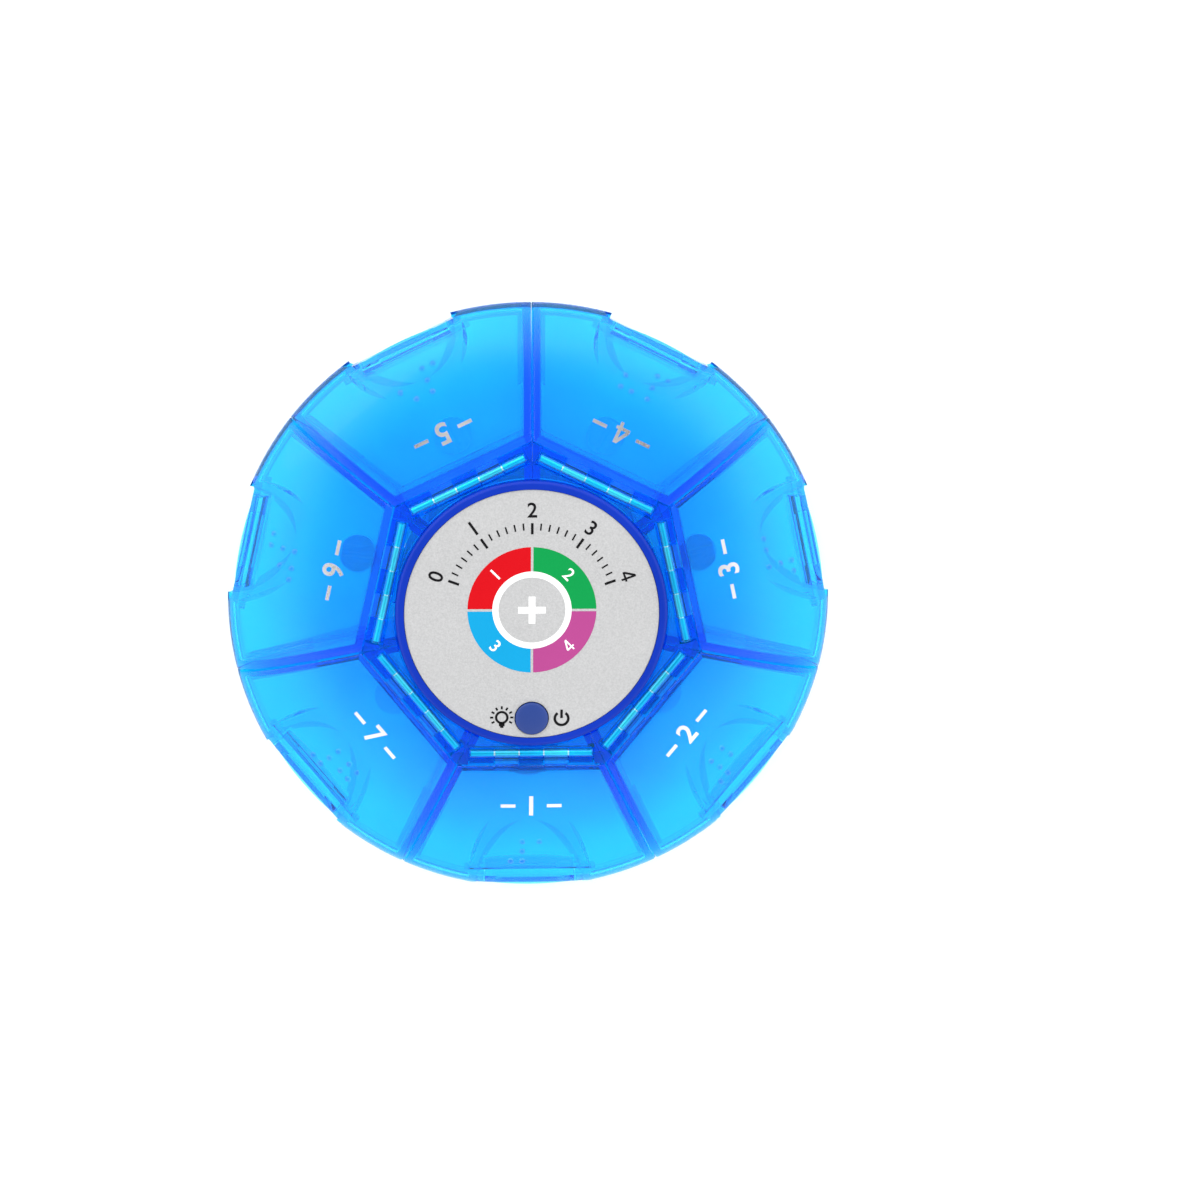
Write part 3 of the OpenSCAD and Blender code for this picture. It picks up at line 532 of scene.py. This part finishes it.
def build_pod():
    """The pod on the +X side, in millimetres."""
    last = PROFILE_STEPS + 1
    sides = [(k, False) for k in range(1, last)]
    pod = fan_solid(POD_SIDE, pod_outline, rounded=sides, radius=POD_EDGE_R)
    floor = [(k, False) for k in range(0, last)]
    hollow = fan_solid(SIDE + WALL_T, pod_hollow, rounded=floor, radius=TRAY_EDGE_R)
    carve(hollow, dish(WALL_T))
    pocket_in = -TAB_T - 2 * LATCH_GAP
    pocket_half = TAB_W / 2 + LATCH_GAP
    carve(hollow, latch_block(pocket_in - WALL_T, WALL_T, pocket_half + WALL_T, -PARTING_Z, CROWN_H))
    carve(pod, hollow)
    carve(pod, fan_solid(SIDE + WALL_T, back_hollow, lines=12))
    plate_x = HINGE_X - KNUCKLE_R - KNUCKLE_GAP
    wall_top = HINGE_Z - KNUCKLE_R - KNUCKLE_GAP
    hinge_gap = HINGE_HALF + KNUCKLE_GAP
    carve(pod, block(plate_x, WALL_X1 + 1, -hinge_gap, hinge_gap, wall_top, ABOVE))
    carve(pod, pod_lip(), "UNION")
    outer = MID_KNUCKLE + LID_KNUCKLE_W + 2 * KNUCKLE_GAP
    for y0, y1 in ((-HINGE_HALF, -outer), (-MID_KNUCKLE, MID_KNUCKLE), (outer, HINGE_HALF)):
        carve(pod, bar(KNUCKLE_R, y0, y1), "UNION")
        low = wall_top - KNUCKLE_FOOT
        carve(pod, block(HINGE_X - KNUCKLE_R, WALL_X1, y0, y1, low, HINGE_Z), "UNION")
    carve(pod, prism(circle(DOCK_R, 360), -1.0, ABOVE))
    carve(pod, bar(PIN_R + PIN_PRESS, -HINGE_HALF - OVERLAP, HINGE_HALF + OVERLAP))
    carve(pod, dish(0.0))
    carve(pod, latch_block(pocket_in, FAR - RIM_R, pocket_half, -TAB_DROP - LATCH_GAP, CROWN_H))
    carve(pod, block(BORE_R - TONGUE_IN, WALL_X0 + OVERLAP, -TONGUE_HALF, TONGUE_HALF, TONGUE_LOW,
                     TONGUE_HIGH), "UNION")
    catch = latch_block(pocket_in - WALL_T / 2, pocket_in + CATCH_REACH, CATCH_W / 2,
                        -CATCH_DROP - CATCH_H / 2, -CATCH_DROP + CATCH_H / 2)
    return carve(pod, catch, "UNION")


def on_side(mesh, number):
    """A copy of a mesh, turned from +X to its own side of the hub. Pod 1 points to -Y."""
    copy = mesh.copy()
    copy.transform(Matrix.Rotation(-math.pi / 2 + math.tau * (number - 1) / DAYS, 4, "Z"))
    return copy


def place_solid(mesh, name, body, slot, *stands_for):
    """A new piece from a finished mesh, on its body, in place of its CAD nodes."""
    mesh.name = name
    piece = bpy.data.objects.new(name, mesh)
    bpy.context.scene.collection.objects.link(piece)
    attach(piece, body)
    if stands_for:
        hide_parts(*stands_for)


pod = finish_solid(build_pod(), "pod_shape", POD_BLUE)
for n in range(1, DAYS + 1):
    place_solid(on_side(pod.data, n), f"pod_{n}_tray", f"pod_{n}_body", "pod_blue", f"pod_{n}")
bpy.data.objects.remove(pod)

# Feet
# Soft clear bumpers, one stuck to the back of each pod.
dress(clear_plastic("FootClear", (0.55, 0.88, 1.0, 1.0), (0.2, 0.85, 0.99, 1.0), 60.0, clear=0.6,
                    roughness=0.35), *[f"foot_{n}" for n in range(1, DAYS + 1)])

# Lids
# Each lid is moulded in a clearer azure plastic: a crowned shell with skirts, two hinge knuckles, a
# bowed latch tab with a slot, and raised dots that give its number in braille.
LID_T = 1.5
SEAM = 0.15
LID_X0 = 33.5
PIN_CLEAR = 0.05
RECESS_UP = 3.3
TAB_BOW = 1.2
LID_EDGE_R = 0.35
LID_INSIDE_R = 0.6
LID_STEPS = 30
# The last colour here is painted shade, darkening the raised dots towards their tops.
LID_BLUE = clear_plastic("LidAzure", (0.22, 0.9, 1.0, 1.0), (0.0, 0.85, 0.995, 1.0), 600.0, clear=0.97,
                         roughness=0.04, coat=0.3, dot_painted_shade=(0.02, 0.42, 1.0, 1.0))


def crown_rows(tip, turn, x0, rim, height, low):
    """Outline of a crowned slice along a line: up from its inner end, over the crown, to the rim."""
    chord = (x0 - tip) / math.cos(turn)
    first = math.asin((distance(tip, turn, chord) / rim) ** (CROWN_CURVE / 2))
    last = math.acos((low - PARTING_Z) / height)
    rows = [(chord, low)]
    for i in range(LID_STEPS + 1):
        a = first + (last - first) * i / LID_STEPS
        r = rim * math.sin(a) ** (2 / CROWN_CURVE)
        rows.append((along(tip, turn, r), PARTING_Z + height * math.cos(a)))
    return rows


def lid_outline(tip, turn):
    """The lid's outside, a seam's width over the parting line."""
    return crown_rows(tip, turn, LID_X0, RIM_R, CROWN_H, PARTING_Z + SEAM)


def lid_hollow(tip, turn):
    """The lid's inside."""
    return crown_rows(tip, turn, LID_X0 + LID_T, RIM_R - LID_T, CROWN_H - LID_T, PARTING_Z)


def lid_recess():
    """Recess in the lid's rim for the tab, with flared ends and rounded upper corners."""
    flare, widening, corner, steps = 2.3, 1.75, 3.0, 8
    floor_half = RECESS_W / 2
    mouth_x = RIM_R + 1.0
    mouth_half = floor_half + flare * (mouth_x - FLAT_X)
    top_half = floor_half + widening
    tool = prism([(FLAT_X, -floor_half), (mouth_x, -mouth_half), (mouth_x, mouth_half),
                  (FLAT_X, floor_half)], 0.0, ABOVE)
    arc = [math.pi / 2 * i / steps for i in range(steps + 1)]
    right = [(top_half - corner + corner * math.cos(a), RECESS_UP - corner + corner * math.sin(a))
             for a in arc]
    left = [(-y, z) for y, z in reversed(right)]
    outline = [(top_half, -1.0)] + right + left + [(-top_half, -1.0)]
    return carve(tool, prism(outline, FLAT_X - 1, RIM_R + 3, outward), "INTERSECT")


def lid_tab():
    """Plate with a bowed lower edge and a slot for the pod's catch."""
    steps, edge_round, sharp_from = 24, 0.22, math.radians(50)
    bow_r = (TAB_W * TAB_W / 4 + TAB_BOW * TAB_BOW) / (2 * TAB_BOW)
    across_tab = [TAB_W * (i / steps - 0.5) for i in range(steps + 1)]
    lower = [(u, bow_r - TAB_DROP - math.sqrt(bow_r ** 2 - u ** 2)) for u in across_tab]
    top = SEAM + 1.0
    tab = prism(lower + [(TAB_W / 2, top), (-TAB_W / 2, top)], -TAB_T, 0.0, at_latch)
    half_slot = CATCH_H / 2 + LATCH_GAP
    carve(tab, latch_block(-TAB_T - 1, 1.0, CATCH_W / 2 + LATCH_GAP, -CATCH_DROP - half_slot,
                           -CATCH_DROP + half_slot))
    shape = bmesh.new()
    shape.from_mesh(tab.data)
    sharp = [e for e in shape.edges if e.is_manifold and e.calc_face_angle(0.0) > sharp_from]
    bmesh.ops.bevel(shape, geom=sharp, offset=edge_round, segments=2, profile=0.5, affect="EDGES",
                    clamp_overlap=True)
    shape.to_mesh(tab.data)
    shape.free()
    return carve(tab, block(0.0, FLAT_X, -TAB_W, TAB_W, 0.0, ABOVE), "INTERSECT")


def build_lid():
    """The lid on the +X side without its dots, in millimetres."""
    sides = [(k, False) for k in range(1, LID_STEPS + 1)] + [(1, True)]
    lid = fan_solid(SIDE, lid_outline, rounded=sides, radius=LID_EDGE_R)
    hollow = fan_solid(SIDE + LID_T, lid_hollow, rounded=sides, radius=LID_INSIDE_R)
    arm_x, arm_top, web = LID_X0 + OVERLAP, HINGE_Z + 1.0, 0.2
    wide = RECESS_W / 2 + LID_T
    carve(hollow, block(FLAT_X - TAB_T, RIM_R + 1, -wide, wide, 0.0, PARTING_Z + RECESS_UP + LID_T))
    carve(lid, hollow)
    carve(lid, lid_recess())
    for y0 in (-MID_KNUCKLE - LID_KNUCKLE_W - KNUCKLE_GAP, MID_KNUCKLE + KNUCKLE_GAP):
        y1 = y0 + LID_KNUCKLE_W
        knuckle = bar(KNUCKLE_R, y0, y1)
        carve(knuckle, block(HINGE_X, arm_x, y0, y1, HINGE_Z, arm_top), "UNION")
        carve(knuckle, block(HINGE_X + KNUCKLE_R, arm_x, y0, y1, HINGE_Z - web, arm_top), "UNION")
        carve(lid, knuckle, "UNION")
    carve(lid, bar(PIN_R + PIN_CLEAR, -HINGE_HALF, HINGE_HALF))
    return carve(lid, lid_tab(), "UNION")


BRAILLE_AT = 54.0
DOT_PITCH = 2.5
CELL_PITCH = 6.2
DOT_R = 0.75
DOT_H = 0.5
DOTS_IN = BRAILLE_AT - 2 * DOT_PITCH
DOTS_OUT = BRAILLE_AT + 2 * DOT_PITCH
DOT_PLACES = [(0, 0), (0, -1), (0, -2), (1, 0), (1, -1), (1, -2)]
NUMBER_SIGN = [3, 4, 5, 6]
DIGIT_DOTS = [[1], [1, 2], [1, 4], [1, 4, 5], [1, 5], [1, 2, 4], [1, 2, 4, 5]]


def braille_dots(number):
    """All dots of one lid as one solid of separate domes."""
    dome_r = (DOT_R ** 2 + DOT_H ** 2) / (2 * DOT_H)
    shape = bmesh.new()
    for dots, shift in ((NUMBER_SIGN, -CELL_PITCH / 2), (DIGIT_DOTS[number - 1], CELL_PITCH / 2)):
        for d in dots:
            column, row = DOT_PLACES[d - 1]
            x = BRAILLE_AT - DOT_PITCH * (row + 1)
            y = shift + DOT_PITCH * (column - 0.5)
            at = Matrix.Translation((x, y, crown_z(math.hypot(x, y)) + DOT_H - dome_r))
            bmesh.ops.create_uvsphere(shape, u_segments=24, v_segments=16, radius=dome_r, matrix=at)
    mesh = bpy.data.meshes.new("dots")
    shape.to_mesh(mesh)
    shape.free()
    dots = bpy.data.objects.new("dots", mesh)
    bpy.context.scene.collection.objects.link(dots)
    return dots


def mark_dots(mesh):
    """Stores how far each point rises in a dot, from 0 on the lid's crown to 1 at the dot's top."""
    noise = 0.02
    rise = mesh.attributes.new("dot", "FLOAT", "POINT")
    for vert in mesh.vertices:
        r = math.hypot(vert.co.x, vert.co.y) / MM
        above = vert.co.z / MM - crown_z(r) if DOTS_IN < r < DOTS_OUT else 0.0
        rise.data[vert.index].value = min(above / DOT_H, 1.0) if above > noise else 0.0


plain_lid = build_lid()
for n in range(1, DAYS + 1):
    lid = plain_lid.copy()
    lid.data = plain_lid.data.copy()
    bpy.context.scene.collection.objects.link(lid)
    carve(lid, braille_dots(n), "UNION")
    finish_solid(lid, "lid_shape", LID_BLUE)
    mark_dots(lid.data)
    place_solid(on_side(lid.data, n), f"lid_{n}_shell", f"lid_{n}_body", "lid_blue", f"lid_{n}")
    bpy.data.objects.remove(lid)
bpy.data.objects.remove(plain_lid)

# Hinge pins
# Plain drawn steel pins, pressed into the pods' knuckles.
dress(brushed_metal("HingeSteel", (0.72, 0.73, 0.78, 1.0), 0.3),
      *[f"hinge_pin_{n}" for n in range(1, DAYS + 1)])

# Numbers on the lids
# Each lid is stamped in silver foil with its plain number between two short strokes.
FOIL = brushed_metal("SilverFoil", (0.92, 0.92, 0.93, 1.0), 0.2, scratches=0.1)
MARK_AT = 42.9
MARK_H = 4.6
MARK_WEIGHT = 0.02
STROKE_IN = 3.4
STROKE_OUT = 6.6
STROKE_HALF = 0.38
INK_T = 0.05


def plain_four(wide):
    """A flat figure 4 with this stroke width, whose eye stays clear."""
    x0, x1, y0, top = 0.3, 0.3 + wide, 0.16, 0.74
    y1 = y0 + wide
    eye_x = 1.12 * wide
    eye_y = y1 + (x0 - eye_x) * 1.625
    points = [(x0, 0), (x1, 0), (x1, y0), (0.5, y0), (0.5, y1), (x1, y1), (x1, top), (0.28, top),
              (0, y1 + 0.01), (0, y0), (eye_x, y1), (x0, eye_y), (x0, y1), (x0, y0)]
    faces = [(9, 13, 12, 10, 8), (8, 10, 11, 7), (12, 5, 6, 7, 11), (13, 2, 5, 12), (0, 1, 2, 13),
             (2, 3, 4, 5)]
    mesh = bpy.data.meshes.new("four")
    mesh.from_pydata([(x, y, 0.0) for x, y in points], [], faces)
    return mesh


def digit_mesh(text, height, weight=0.0):
    """A flat mesh of plain digits, centred, with this height of the figures. weight thickens them."""
    curve = bpy.data.curves.new("digit", "FONT")
    curve.body = text
    curve.size = 1.0
    curve.offset = weight
    curve.resolution_u = 6
    curve.align_x = "CENTER"
    holder = bpy.data.objects.new("digit", curve)
    bpy.context.scene.collection.objects.link(holder)
    graph = bpy.context.evaluated_depsgraph_get()
    mesh = bpy.data.meshes.new_from_object(holder.evaluated_get(graph))
    bpy.data.objects.remove(holder)
    if text == "4":
        mesh = plain_four(0.075 + 2 * weight)
    low = min(v.co.y for v in mesh.vertices)
    high = max(v.co.y for v in mesh.vertices)
    left = min(v.co.x for v in mesh.vertices)
    right = max(v.co.x for v in mesh.vertices)
    size = height / (high - low)
    middle = Matrix.Translation((-(left + right) / 2, -(low + high) / 2, 0.0))
    mesh.transform(Matrix.Scale(size, 4) @ middle)
    return mesh


def stroke(points):
    """A flat face from its corners."""
    mesh = bpy.data.meshes.new("stroke")
    mesh.from_pydata([(x, y, 0.0) for x, y in points], [], [list(range(len(points)))])
    return mesh


def printed(meshes, name, material, height_at, place=Matrix.Identity(4), thick=INK_T, fine=1.2):
    """Flat meshes, in millimetres, laid as one film on a surface, whose height is given at each point.
    Edges longer than fine are split first, so that the film follows a curved surface."""
    shape = bmesh.new()
    for mesh in meshes:
        shape.from_mesh(mesh)
    shape.transform(place)
    bmesh.ops.remove_doubles(shape, verts=shape.verts, dist=1e-4)
    for _ in range(3):
        long = [e for e in shape.edges if e.calc_length() > fine]
        if not long:
            break
        bmesh.ops.subdivide_edges(shape, edges=long, cuts=1)
        bmesh.ops.triangulate(shape, faces=[f for f in shape.faces if len(f.verts) > 4])
    for face in shape.faces:
        face.smooth = False
        if face.normal.z < 0:
            face.normal_flip()
    top = bmesh.ops.extrude_face_region(shape, geom=shape.faces[:])
    raised = {v for v in top["geom"] if isinstance(v, bmesh.types.BMVert)}
    for vert in shape.verts:
        vert.co.z = height_at(vert.co.x, vert.co.y) + (thick if vert in raised else -thick / 2)
    bmesh.ops.recalc_face_normals(shape, faces=shape.faces)
    mesh = bpy.data.meshes.new(name)
    shape.to_mesh(mesh)
    shape.free()
    mesh.transform(Matrix.Scale(MM, 4))
    mesh.materials.append(material)
    return mesh


def rectangle(x0, x1, y0, y1):
    """A flat rectangle between these lines."""
    return stroke([(x0, y0), (x1, y0), (x1, y1), (x0, y1)])


for n in range(1, DAYS + 1):
    marks = [digit_mesh(str(n), MARK_H, MARK_WEIGHT)]
    for s in (-1, 1):
        marks.append(rectangle(*sorted((s * STROKE_IN, s * STROKE_OUT)), -STROKE_HALF, STROKE_HALF))
    feet_out = Matrix.Translation((MARK_AT, 0.0, 0.0)) @ Matrix.Rotation(math.pi / 2, 4, "Z")
    film = printed(marks, "film", FOIL, lambda x, y: crown_z(math.hypot(x, y)), feet_out)
    place_solid(on_side(film, n), f"lid_{n}_number", f"lid_{n}_body", "lid_blue")

# Face label
# A disc of pale grey film with a fine sandy grain, stuck inside the bezel and printed with the dial.
LABEL_TOP = 24.1
DIAL_Y = 1.1
LAYER_T = 0.03
UNSPLIT = 30.0


def sandy_film():
    """Matt grey film whose pigment is speckled like fine sand."""
    material, tree, out = new_material("LabelGrey")
    place = add(tree, "ShaderNodeTexCoord").outputs["Object"]
    sand = add(tree, "ShaderNodeTexNoise", {"noise_dimensions": "3D"}, Vector=place, Scale=2600.0,
               Detail=2.0, Roughness=0.7)
    speckle = add(tree, "ShaderNodeMapRange", None, Value=sand.outputs["Fac"], From_Min=0.3,
                  From_Max=0.7, To_Min=0.9, To_Max=1.1)
    tone = add(tree, "ShaderNodeHueSaturation", None, Value=speckle.outputs["Result"],
               Color=(0.444, 0.446, 0.45, 1.0))
    skin = add(tree, "ShaderNodeGroup", {"node_tree": MOULDED}, Colour=tone.outputs["Color"],
               Marks=0.02, Roughness=0.5, Grain_size=4200.0, Grain_height=0.6)
    shader = add(tree, "ShaderNodeBsdfPrincipled", None, Base_Color=skin.outputs["Colour"],
                 Roughness=skin.outputs["Roughness"], Normal=skin.outputs["Normal"])
    shader.inputs["Specular IOR Level"].default_value = 0.25
    tree.links.new(shader.outputs["BSDF"], out.inputs["Surface"])
    return material


dress(sandy_film(), "face_label")
INKS = {
    "red": (0.56, 0.001, 0.006, 1.0),
    "green": (0.001, 0.28, 0.06, 1.0),
    "cyan": (0.003, 0.31, 0.60, 1.0),
    "magenta": (0.39, 0.055, 0.23, 1.0),
    "white": (0.85, 0.85, 0.85, 1.0),
    "black": (0.004, 0.004, 0.005, 1.0),
}
INK = {key: moulded_plastic("Ink" + key.capitalize(), colour, marks=0.03, roughness=0.42,
                            grain=5200.0, height=0.3, shine=0.15) for key, colour in INKS.items()}


def ring_part(r0, r1, start, stop, gap=0.0, x0=0.0, y0=0.0, steps=32):
    """A flat piece of a ring between two angles in degrees, its ends kept half a gap from the radii."""
    points = []
    for r in (r1, r0):
        kept = math.asin(min(1.0, gap / 2 / r))
        first, last = math.radians(start) + kept, math.radians(stop) - kept
        for i in range(steps + 1):
            a = first + (last - first) * i / steps
            points.append((x0 + r * math.cos(a), y0 + r * math.sin(a), 0.0))
    row = steps + 1
    faces = [(i, i + 1, row + i + 1, row + i) for i in range(steps)]
    mesh = bpy.data.meshes.new("ring")
    mesh.from_pydata(points, [], faces)
    return mesh


def on_label(meshes, name, ink, layer=1):
    """Prints flat meshes on the label, in a film as thick as its layers. It needs no splitting there."""
    place = Matrix.Translation((0.0, DIAL_Y, 0.0))
    film = printed(meshes, name, INK[ink], lambda x, y: LABEL_TOP, place, thick=LAYER_T * layer,
                   fine=UNSPLIT)
    place_solid(film, name, "hub", "label_grey")


def turned(mesh, r, angle, lean):
    """Moves a flat mesh out to a distance and angle from the dial's middle, and leans it."""
    out_there = Matrix.Translation((r * math.cos(angle), r * math.sin(angle), 0.0))
    mesh.transform(out_there @ Matrix.Rotation(lean, 4, "Z"))
    return mesh


# Four sectors round a white ring, with the numbers 1 to 4, and a plus sign in the middle.
SECTORS = [("red", 90, 180, "1", 45), ("green", 0, 90, "2", -45), ("cyan", 180, 270, "3", -45),
           ("magenta", 270, 360, "4", 45)]
RING_IN = 7.1
SECTOR_IN = 8.4
SECTOR_OUT = 13.65
SECTOR_GAP = 0.55
DIGIT_AT = 11.0
DIGIT_H = 2.7
DIGIT_WEIGHT = 0.008
PLUS_OUT = 2.95
PLUS_HALF = 0.72
digits = []
for ink, start, stop, text, lean in SECTORS:
    on_label([ring_part(SECTOR_IN, SECTOR_OUT, start, stop, SECTOR_GAP)], f"dial_{ink}", ink)
    digit = digit_mesh(text, DIGIT_H, DIGIT_WEIGHT)
    digits.append(turned(digit, DIGIT_AT, math.radians((start + stop) / 2), math.radians(lean)))
plus = [rectangle(-PLUS_OUT, PLUS_OUT, -PLUS_HALF, PLUS_HALF),
        rectangle(-PLUS_HALF, PLUS_HALF, PLUS_HALF, PLUS_OUT),
        rectangle(-PLUS_HALF, PLUS_HALF, -PLUS_OUT, -PLUS_HALF)]
on_label(digits, "dial_digits", "white", layer=2)
on_label(plus, "dial_plus", "white")
on_label([ring_part(RING_IN, SECTOR_IN, 0, 360, steps=96)], "dial_ring", "white")

def spoke(angle, r0, r1, wide, x0=0.0, y0=0.0):
    """A short straight stroke along a radius, with this half width."""
    c, s = math.cos(angle), math.sin(angle)
    return stroke([(x0 + r * c + side * s, y0 + r * s - side * c)
                   for r, side in ((r0, wide), (r1, wide), (r1, -wide), (r0, -wide))])


# The arc over the dial is a plain time scale from 0 to 4, with six steps to each.
SCALE_START = 160
SCALE_SWEEP = 140
HOURS = 4
STEPS = 6
TICK_OUT = 18.8
LONG_TICK = (16.4, 0.27)
SHORT_TICK = (17.3, 0.17)
FIGURE_AT = 21.6
FIGURE_H = 3.2
FIGURE_WEIGHT = 0.012
scale = []
for i in range(HOURS * STEPS + 1):
    r0, wide = LONG_TICK if i % STEPS == 0 else SHORT_TICK
    scale.append(spoke(math.radians(SCALE_START - SCALE_SWEEP * i / (HOURS * STEPS)), r0, TICK_OUT, wide))
for i in range(HOURS + 1):
    angle = math.radians(SCALE_START - SCALE_SWEEP / HOURS * i)
    figure = digit_mesh(str(i), FIGURE_H, FIGURE_WEIGHT)
    scale.append(turned(figure, FIGURE_AT, angle, angle - math.pi / 2))
on_label(scale, "dial_scale", "black")

# Two small signs flank the button: a lamp with nine rays on its left, and a power sign on its right.
SIGN_X = 6.4
SIGN_Y = -23.9
BULB_Y = SIGN_Y + 0.3
BULB_IN = 0.96
BULB_OUT = 1.46
CAP_HALF = 0.6
CAP_TIP_HALF = 0.35
CAP_TOP = -1.3
CAP_STEP = -1.95
CAP_END = -2.3
RAYS = 9
RAY_FIRST = -30
RAY_EACH = 30
RAY_IN = 1.82
RAY_OUT = 2.5
RAY_HALF = 0.2
POWER_IN = 1.17
POWER_OUT = 1.73
POWER_FROM = 125
POWER_TO = 415
BAR_HALF = 0.28
signs = [ring_part(BULB_IN, BULB_OUT, 0, 360, x0=-SIGN_X, y0=BULB_Y, steps=40),
         rectangle(-SIGN_X - CAP_HALF, -SIGN_X + CAP_HALF, BULB_Y + CAP_STEP, BULB_Y + CAP_TOP),
         rectangle(-SIGN_X - CAP_TIP_HALF, -SIGN_X + CAP_TIP_HALF, BULB_Y + CAP_END, BULB_Y + CAP_STEP),
         ring_part(POWER_IN, POWER_OUT, POWER_FROM, POWER_TO, x0=SIGN_X, y0=SIGN_Y, steps=40),
         rectangle(SIGN_X - BAR_HALF, SIGN_X + BAR_HALF, SIGN_Y + 0.1, SIGN_Y + 1.98)]
for i in range(RAYS):
    angle = math.radians(RAY_FIRST + RAY_EACH * i)
    signs.append(spoke(angle, RAY_IN, RAY_OUT, RAY_HALF, -SIGN_X, BULB_Y))
on_label(signs, "button_signs", "black")

# Timer button
# A dark blue cap with a shallow dome, which stands a little above the bezel.
dress(moulded_plastic("ButtonNavy", (0.022, 0.05, 0.22, 1.0), roughness=0.35, grain=1800.0, height=0.1,
                      shine=0.25), "timer_button")

# Studio
# A plain pale floor, one wide soft light, and a pale room all round that is brightest low behind the
# box and dim overhead. The floor is clear from below, so that the box's back can be seen.
scene = bpy.context.scene
LIGHT_PASSES = 32
FLOOR_HALF = 3
FLOOR_GLOW = 0.12

room = bpy.data.worlds.new("Room")
scene.world = room
room.use_nodes = True
walls = room.node_tree
way = add(walls, "ShaderNodeSeparateXYZ", None,
          Vector=add(walls, "ShaderNodeTexCoord").outputs["Generated"])
behind = add(walls, "ShaderNodeMapRange", None, Value=way.outputs["Y"], From_Min=-1.0, From_Max=1.0,
             To_Min=1.1, To_Max=2.5)
overhead = add(walls, "ShaderNodeMapRange", {"interpolation_type": "SMOOTHSTEP"},
               Value=way.outputs["Z"], From_Min=0.8, From_Max=0.97, To_Min=1.0, To_Max=0.1)
power = add(walls, "ShaderNodeMath", {"operation": "MULTIPLY"}, i0=behind.outputs["Result"],
            i1=overhead.outputs["Result"])
walls.nodes["Background"].inputs["Color"].default_value = (1.0, 1.0, 1.0, 1.0)
walls.links.new(power.outputs[0], walls.nodes["Background"].inputs["Strength"])

floor_mesh = bpy.data.meshes.new("floor")
floor_mesh.from_pydata([(-FLOOR_HALF, -FLOOR_HALF, 0), (FLOOR_HALF, -FLOOR_HALF, 0),
                        (FLOOR_HALF, FLOOR_HALF, 0), (-FLOOR_HALF, FLOOR_HALF, 0)], [], [(0, 1, 2, 3)])
floor = bpy.data.objects.new("floor", floor_mesh)
scene.collection.objects.link(floor)
floor_pale = moulded_plastic("FloorPale", (0.96, 0.96, 0.96, 1.0), marks=0.005, roughness=0.8)
tree = floor_pale.node_tree
paint = tree.nodes["Principled BSDF"]
paint.inputs["Emission Color"].default_value = (1.0, 1.0, 1.0, 1.0)
paint.inputs["Emission Strength"].default_value = FLOOR_GLOW
from_below = add(tree, "ShaderNodeNewGeometry").outputs["Backfacing"]
clear = add(tree, "ShaderNodeBsdfTransparent").outputs["BSDF"]
one_sided = add(tree, "ShaderNodeMixShader", None, Fac=from_below, i1=paint.outputs["BSDF"], i2=clear)
tree.links.new(one_sided.outputs["Shader"], tree.nodes["Material Output"].inputs["Surface"])
floor_mesh.materials.append(floor_pale)


def soft_light(name, place, size, power):
    """A round soft light, aimed at the middle of the floor."""
    data = bpy.data.lights.new(name, "AREA")
    data.shape = "DISK"
    data.size = size
    data.energy = power
    lamp = bpy.data.objects.new(name, data)
    scene.collection.objects.link(lamp)
    lamp.location = place
    lamp.rotation_mode = "QUATERNION"
    lamp.rotation_quaternion = (-Vector(place)).to_track_quat("-Z", "Y")


soft_light("KeyLight", (-0.9, 0.9, 0.9), size=1.3, power=3.0)
scene.view_settings.view_transform = "Standard"
scene.cycles.max_bounces = LIGHT_PASSES
scene.cycles.transmission_bounces = LIGHT_PASSES
scene.cycles.transparent_max_bounces = LIGHT_PASSES

# The photograph looks down on the face, a little from above its upper edge.
camera_data = bpy.data.cameras.new("Camera")
camera_data.lens = 70.0
camera_data.sensor_width = 36.0
camera_data.clip_start = 0.01
camera_data.clip_end = 10.0
camera = bpy.data.objects.new("Camera", camera_data)
scene.collection.objects.link(camera)
camera.location = (-0.0156, 0.1179, 0.5042)
camera.rotation_euler = [math.radians(a) for a in (-13.44, -3.44, 0.57)]
scene.camera = camera
